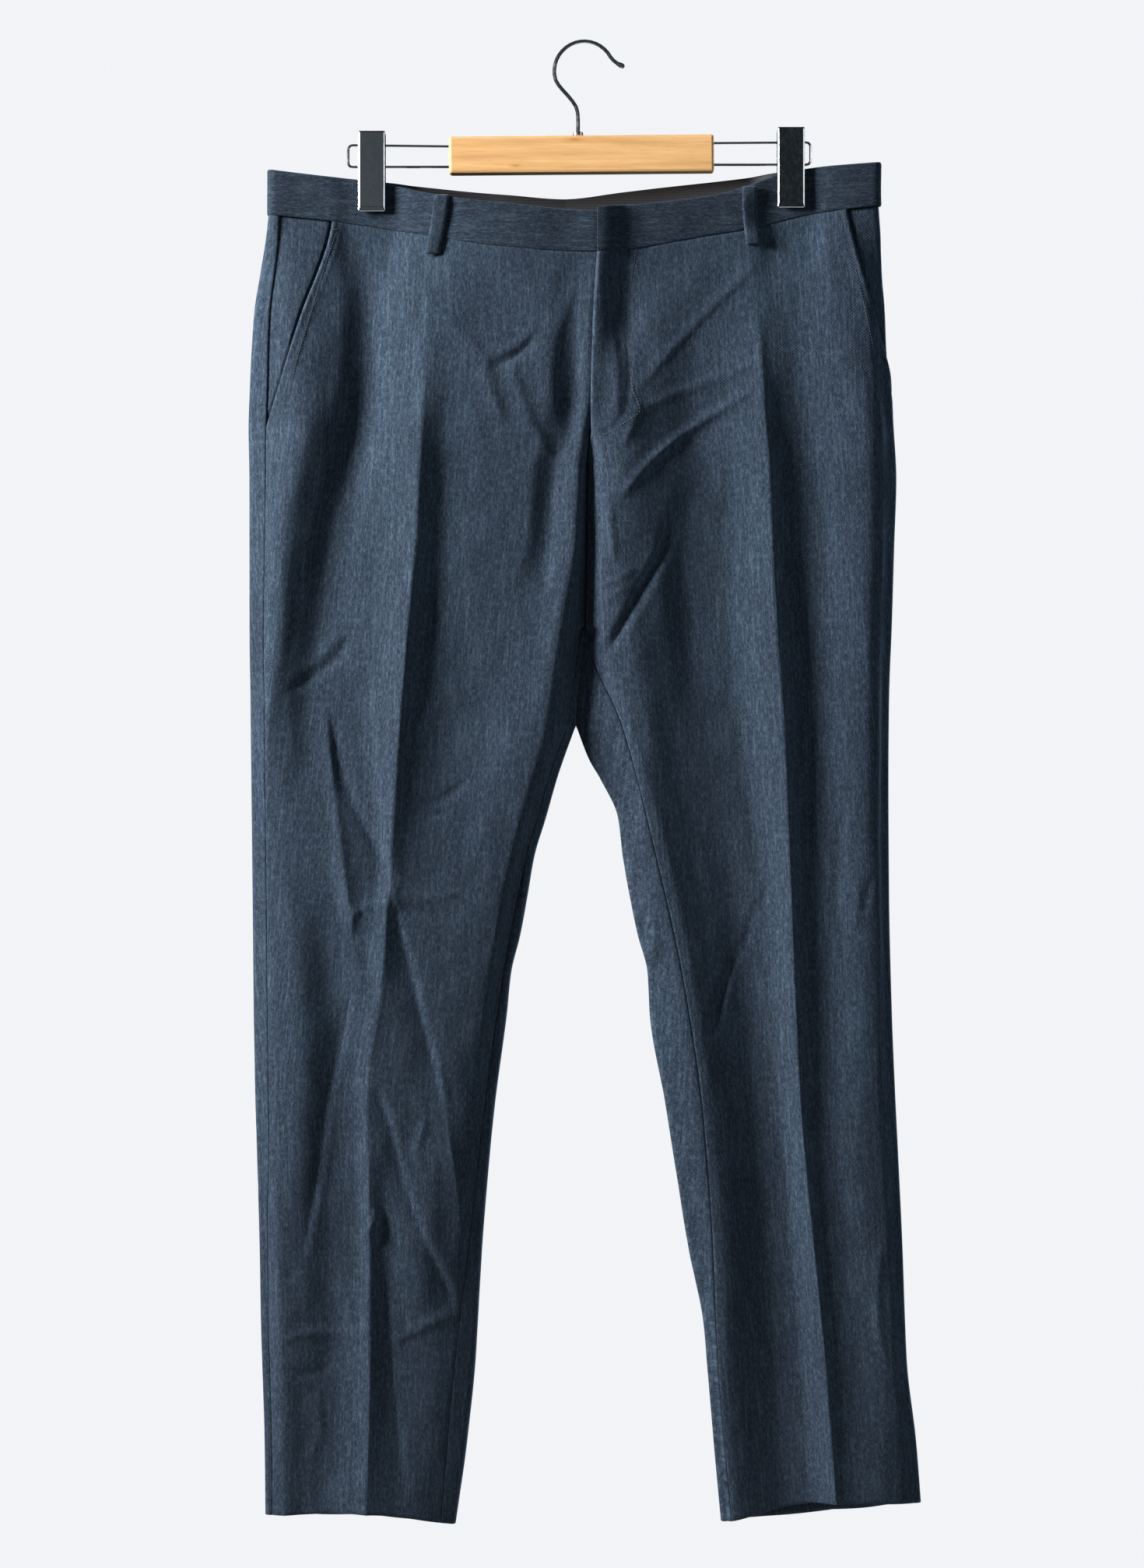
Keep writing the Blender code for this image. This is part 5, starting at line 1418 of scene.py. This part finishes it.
def stripes(tree, source, scale, turn, distortion):
    """Even stripes across coordinates, turned by an angle."""
    mapping = tree.nodes.new("ShaderNodeMapping")
    mapping.inputs["Rotation"].default_value = (0.0, 0.0, turn)
    tree.links.new(source, mapping.inputs["Vector"])
    wave = tree.nodes.new("ShaderNodeTexWave")
    wave.inputs["Scale"].default_value = scale
    wave.inputs["Distortion"].default_value = distortion
    tree.links.new(mapping.outputs["Vector"], wave.inputs["Vector"])
    return wave.outputs["Fac"]


def ramp(tree, source, *stops):
    """Colours by value: each stop is (value, colour)."""
    node = tree.nodes.new("ShaderNodeValToRGB")
    elements = node.color_ramp.elements
    for element, (position, colour) in ((elements[0], stops[0]), (elements[1], stops[-1])):
        element.position = position
        element.color = (*colour, 1.0)
    for position, colour in stops[1:-1]:
        elements.new(position).color = (*colour, 1.0)
    tree.links.new(source, node.inputs["Fac"])
    return node.outputs["Color"]


def grey(value):
    return (value, value, value)


def mixed(tree, a, b, factor, way="MIX"):
    """Colour a with a share of colour b."""
    node = tree.nodes.new("ShaderNodeMix")
    node.data_type = "RGBA"
    node.blend_type = way
    node.inputs["Factor"].default_value = factor
    tree.links.new(a, node.inputs["A"])
    tree.links.new(b, node.inputs["B"])
    return node.outputs["Result"]


def added(tree, a, b, weight):
    """Value a with b times a weight."""
    node = tree.nodes.new("ShaderNodeMath")
    node.operation = "MULTIPLY_ADD"
    node.inputs[1].default_value = weight
    tree.links.new(b, node.inputs[0])
    tree.links.new(a, node.inputs[2])
    return node.outputs["Value"]


def bumped(tree, shader, height, strength, distance):
    """Links a height to the shader's normal; the distance is in metres."""
    node = tree.nodes.new("ShaderNodeBump")
    node.inputs["Strength"].default_value = strength
    node.inputs["Distance"].default_value = distance
    tree.links.new(height, node.inputs["Height"])
    tree.links.new(node.outputs["Normal"], shader.inputs["Normal"])


def coordinates(tree, output):
    node = tree.nodes.new("ShaderNodeTexCoord")
    return node.outputs[output]


def wool_material(name, gain):
    """Worsted wool melange: pale and dark fibres in fine upright streaks, over a fine twill."""
    material, tree, shader = new_material(
        name, 0.9, Sheen_Weight=0.12, Sheen_Roughness=0.5, Specular_IOR_Level=0.15
    )
    shader.inputs["Sheen Tint"].default_value = (0.5, 0.7, 0.95, 1.0)
    grain = coordinates(tree, "UV")
    dark, mid, light = (tuple(gain * c for c in colour) for colour in (WOOL_DARK, WOOL_MID, WOOL_LIGHT))
    fibre = spots(tree, grain, (720.0, 210.0, 1.0), 3.0, 0.7)
    streak = spots(tree, grain, (420.0, 30.0, 1.0), 3.0, 0.7, 3.1)
    speck = spots(tree, grain, (1500.0, 1200.0, 1.0), 2.0, 0.7, 7.7)
    shade = spots(tree, grain, (36.0, 9.0, 1.0), 4.0, 0.6, 1.3)
    colour = mixed(
        tree,
        ramp(tree, fibre, (0.35, dark), (0.5, mid), (0.65, light)),
        ramp(tree, streak, (0.37, dark), (0.52, mid), (0.67, light)),
        0.42,
    )
    colour = mixed(tree, colour, ramp(tree, speck, (0.36, dark), (0.5, mid), (0.66, light)), 0.3)
    shade = ramp(tree, shade, (0.3, (0.84, 0.83, 0.86)), (0.5, (1.02, 1.0, 1.0)), (0.7, (1.1, 1.14, 1.12)))
    tree.links.new(mixed(tree, colour, shade, 1.0, "MULTIPLY"), shader.inputs["Base Color"])
    twill = stripes(tree, grain, 190.0, math.radians(58.0), 1.0)
    height = added(tree, twill, spots(tree, grain, (1500.0, 300.0, 1.0), 3.0, 0.7, 5.5), 1.4)
    bumped(tree, shader, height, 0.35, 0.00025)
    return material


def lining_material():
    """Grey-brown cotton of the waistband's inside, with a fine rib and faint wrinkles."""
    material, tree, shader = new_material("lining_cloth", 0.8, Sheen_Weight=0.1)
    grain = coordinates(tree, "UV")
    weave = spots(tree, grain, (900.0, 1400.0, 1.0), 2.0, 0.6)
    weave = ramp(tree, weave, (0.3, (0.016, 0.0165, 0.019)), (0.7, (0.029, 0.029, 0.032)))
    shade = spots(tree, grain, (60.0, 14.0, 1.0), 2.0, 0.5, 2.0)
    shade = ramp(tree, shade, (0.3, (0.78, 0.78, 0.8)), (0.7, (1.12, 1.1, 1.08)))
    tree.links.new(mixed(tree, weave, shade, 1.0, "MULTIPLY"), shader.inputs["Base Color"])
    rib = stripes(tree, grain, 150.0, 0.0, 0.6)
    height = added(tree, rib, spots(tree, grain, (90.0, 30.0, 1.0), 2.0, 0.5), 2.0)
    bumped(tree, shader, height, 0.4, 0.0004)
    return material


def thread_material():
    """Navy sewing thread, a little paler than the wool."""
    material, tree, shader = new_material("thread", 0.6, Sheen_Weight=0.2)
    place = coordinates(tree, "Object")
    colour = spots(tree, place, grey(900.0), 2.0)
    colour = ramp(tree, colour, (0.3, (0.028, 0.036, 0.05)), (0.7, (0.06, 0.074, 0.098)))
    tree.links.new(colour, shader.inputs["Base Color"])
    bumped(tree, shader, spots(tree, place, grey(3000.0)), 0.3, 0.0001)
    return material


def wood_material():
    """Warm varnished beech, its grain along the bar, with two small knots."""
    material, tree, shader = new_material("beech", 0.42, Coat_Weight=0.12, Coat_Roughness=0.25)
    place = coordinates(tree, "Object")
    broad = spots(tree, place, (9.0, 40.0, 150.0), 4.0, 0.6)
    fine = spots(tree, place, (55.0, 500.0, 1500.0), 3.0, 0.65, 4.0)
    colour = mixed(
        tree,
        ramp(tree, broad, (0.28, WOOD_DARK), (0.5, WOOD_MID), (0.72, WOOD_LIGHT)),
        ramp(tree, fine, (0.3, (0.9, 0.86, 0.8)), (0.6, (1.03, 1.02, 1.0))),
        1.0,
        "MULTIPLY",
    )
    for middle, size in WOOD_KNOTS:
        mapping = tree.nodes.new("ShaderNodeMapping")
        mapping.vector_type = "TEXTURE"
        mapping.inputs["Location"].default_value = middle
        mapping.inputs["Scale"].default_value = size
        tree.links.new(place, mapping.inputs["Vector"])
        ball = tree.nodes.new("ShaderNodeTexGradient")
        ball.gradient_type = "SPHERICAL"
        tree.links.new(mapping.outputs["Vector"], ball.inputs["Vector"])
        inside = ball.outputs["Fac"]
        knot = ramp(tree, inside, (0.0, WHITE), (0.6, (0.9, 0.82, 0.72)), (1.0, (0.66, 0.5, 0.36)))
        colour = mixed(tree, colour, knot, 1.0, "MULTIPLY")
    tree.links.new(colour, shader.inputs["Base Color"])
    rough = ramp(tree, spots(tree, place, (30.0, 300.0, 900.0), 2.0), (0.3, grey(0.36)), (0.7, grey(0.5)))
    tree.links.new(rough, shader.inputs["Roughness"])
    bumped(tree, shader, spots(tree, place, (40.0, 400.0, 1500.0), 3.0, 0.6), 0.25, 0.0002)
    return material


def metal_material(name, colour, roughness):
    """Polished metal with faint cloudy tarnish and fine wear."""
    material, tree, shader = new_material(name, roughness, Metallic=1.0)
    place = coordinates(tree, "Object")
    dark = tuple(c * 0.86 for c in colour)
    tint = ramp(tree, spots(tree, place, (160.0, 160.0, 90.0), 4.0, 0.65), (0.3, dark), (0.65, colour))
    tree.links.new(tint, shader.inputs["Base Color"])
    wear = spots(tree, place, (420.0, 420.0, 240.0), 3.0, 0.7, 2.0)
    rough = ramp(tree, wear, (0.3, grey(roughness * 0.7)), (0.7, grey(roughness * 1.6)))
    tree.links.new(rough, shader.inputs["Roughness"])
    bumped(tree, shader, spots(tree, place, (500.0, 500.0, 120.0), 3.0, 0.7, 9.0), 0.06, 0.0002)
    return material


def plain_material(name, colours, scale, roughness):
    """A matt material that varies between two colours."""
    material, tree, shader = new_material(name, roughness)
    place = coordinates(tree, "Object")
    dark, light = colours
    colour = ramp(tree, spots(tree, place, grey(scale), 3.0, 0.6), (0.3, dark), (0.7, light))
    tree.links.new(colour, shader.inputs["Base Color"])
    bumped(tree, shader, spots(tree, place, grey(scale * 3.0), 2.0), 0.3, 0.0002)
    return material


# ---------------------------------------------------------------- light, floor, camera


def add_light(name, place, target, size, power, colour, lights):
    """A soft rectangular light that isn't seen itself."""
    data = bpy.data.lights.new(name, "AREA")
    data.shape = "RECTANGLE"
    data.size, data.size_y = size
    data.energy = power
    data.color = colour
    lamp = bpy.data.objects.new(name, data)
    bpy.context.scene.collection.objects.link(lamp)
    lamp.location = place
    lamp.rotation_euler = (Vector(target) - Vector(place)).to_track_quat("-Z", "Y").to_euler()
    lamp.visible_camera = False
    lamp.visible_glossy = lights != "cloth"
    lamp.visible_diffuse = lights != "metal"


def build_world():
    """A pale studio wall for the camera, and a dimmer room around the object."""
    world = bpy.data.worlds.new("studio")
    bpy.context.scene.world = world
    world.use_nodes = True
    tree = world.node_tree
    tree.nodes.clear()
    output = tree.nodes.new("ShaderNodeOutputWorld")
    path = tree.nodes.new("ShaderNodeLightPath")
    choice = tree.nodes.new("ShaderNodeMixShader")
    tree.links.new(path.outputs["Is Camera Ray"], choice.inputs["Fac"])
    for socket, colour, strength in ((1, ROOM_COLOUR, ROOM_LIGHT), (2, WALL_COLOUR, 1.0)):
        background = tree.nodes.new("ShaderNodeBackground")
        background.inputs["Color"].default_value = (*colour, 1.0)
        background.inputs["Strength"].default_value = strength
        tree.links.new(background.outputs["Background"], choice.inputs[socket])
    tree.links.new(choice.outputs["Shader"], output.inputs["Surface"])


def build_floor():
    """A pale floor below the hanging trousers, its rim turned up a little."""
    grid = bmesh.new()
    half = FLOOR_SIZE / 2
    bmesh.ops.create_grid(grid, x_segments=24, y_segments=24, size=half)
    for vertex in grid.verts:
        edge = max(abs(vertex.co.x), abs(vertex.co.y)) / half
        vertex.co.z = FLOOR_HEIGHT + FLOOR_RIM_RISE * max(edge - (1.0 - FLOOR_RIM), 0.0) / FLOOR_RIM
    floor = object_from(grid, "floor", plain_material("floor_paint", FLOOR_PAINT, 4.0, 0.7))
    floor.data.shade_smooth()


def build_camera():
    data = bpy.data.cameras.new("camera")
    data.sensor_width = 36.0
    data.lens = CAMERA_LENS
    data.clip_end = 50.0
    camera = bpy.data.objects.new("camera", data)
    bpy.context.scene.collection.objects.link(camera)
    camera.location = CAMERA_PLACE
    camera.rotation_euler = (math.radians(90.0), 0.0, 0.0)
    bpy.context.scene.camera = camera


# ---------------------------------------------------------------- the whole scene


def settle(thing, node):
    """A piece that stands for one of the part's solids, which don't move."""
    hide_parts(node)
    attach(thing, "root")


def dress_nodes(frame, wool):
    """Better finishes on the solids whose own shape stays."""
    chrome = metal_material("polished_chrome", CHROME, 0.13)
    looks = {
        "bar": wood_material(),
        "arm_": chrome,
        "hook": chrome,
        "clip_right_pad": plain_material("clip_rubber", RUBBER, 700.0, 0.8),
        "clip_left_pad": plain_material("clip_rubber_left", RUBBER, 700.0, 0.8),
        "clip_": chrome,
        "fly_zip": plain_material("zip_tape", ZIP_TAPE, 900.0, 0.75),
        "fly_shield": wool,
    }
    for name, thing in frame["nodes"].items():
        for start, material in looks.items():
            if name.startswith(start):
                for place in thing.material_slots:
                    place.material = material
                break


def dress_garment(wool):
    """The cloth pieces by the names of the solids that they stand for."""
    # The waistband and the belt loops get a darker copy of the same wool: painted shade
    band_wool_painted_shade = wool_material("wool_band_painted_shade", 0.38)
    lining = lining_material()
    halves = {
        "right": Half("right", -1.0, FRONT_RIGHT_LINES, FRONT_RIGHT, WAIST_FRONT_RIGHT),
        "left": Half("left", 1.0, FRONT_LEFT_LINES, FRONT_LEFT, WAIST_FRONT_LEFT),
    }
    pieces = {}
    for side, other in zip(SIDES, SIDES[::-1]):
        half = halves[side]
        front, back, facing = build_half(half, wool)
        for thing, node, slot in (
            (front, "front_", "wool"),
            (back, "back_", "wool"),
            (facing, "pocket_facing_", "wool"),
            (build_band(half, halves[other], band_wool_painted_shade), "waistband_", "wool"),
            (build_lining(half, lining), "lining_", "lining"),
        ):
            settle(thing, node + side)
            pieces[node + side] = thing
    for name in LOOPS:
        pieces[name] = build_loop(name, halves, band_wool_painted_shade)
        settle(pieces[name], name)
    return pieces


def dress_clips():
    """The clips' plates."""
    chrome = metal_material("clip_chrome", CLIP_CHROME, 0.17)
    for side in SIDES:
        middle_x, top = CLIPS[side]
        for face, forward in FORWARD.items():
            plate = build_plate("plate_" + side + "_" + face, middle_x, top, forward, chrome)
            settle(plate, "clip_" + side + "_plate_" + face)


def sew(pieces):
    """The stitches."""
    thread = thread_material()
    for name, nodes, runs in STITCHES:
        stitches = add_stitches(name, surface_tree(pieces[node] for node in nodes), runs, thread)
        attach(stitches, "root")


def build():
    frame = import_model()
    bpy.context.scene.view_settings.view_transform = "Standard"
    build_camera()
    build_world()
    build_floor()
    for light in LIGHTS:
        add_light(*light)
    wool = wool_material("wool_cloth", 0.55)
    dress_nodes(frame, wool)
    pieces = dress_garment(wool)
    dress_clips()
    sew(pieces)


build()
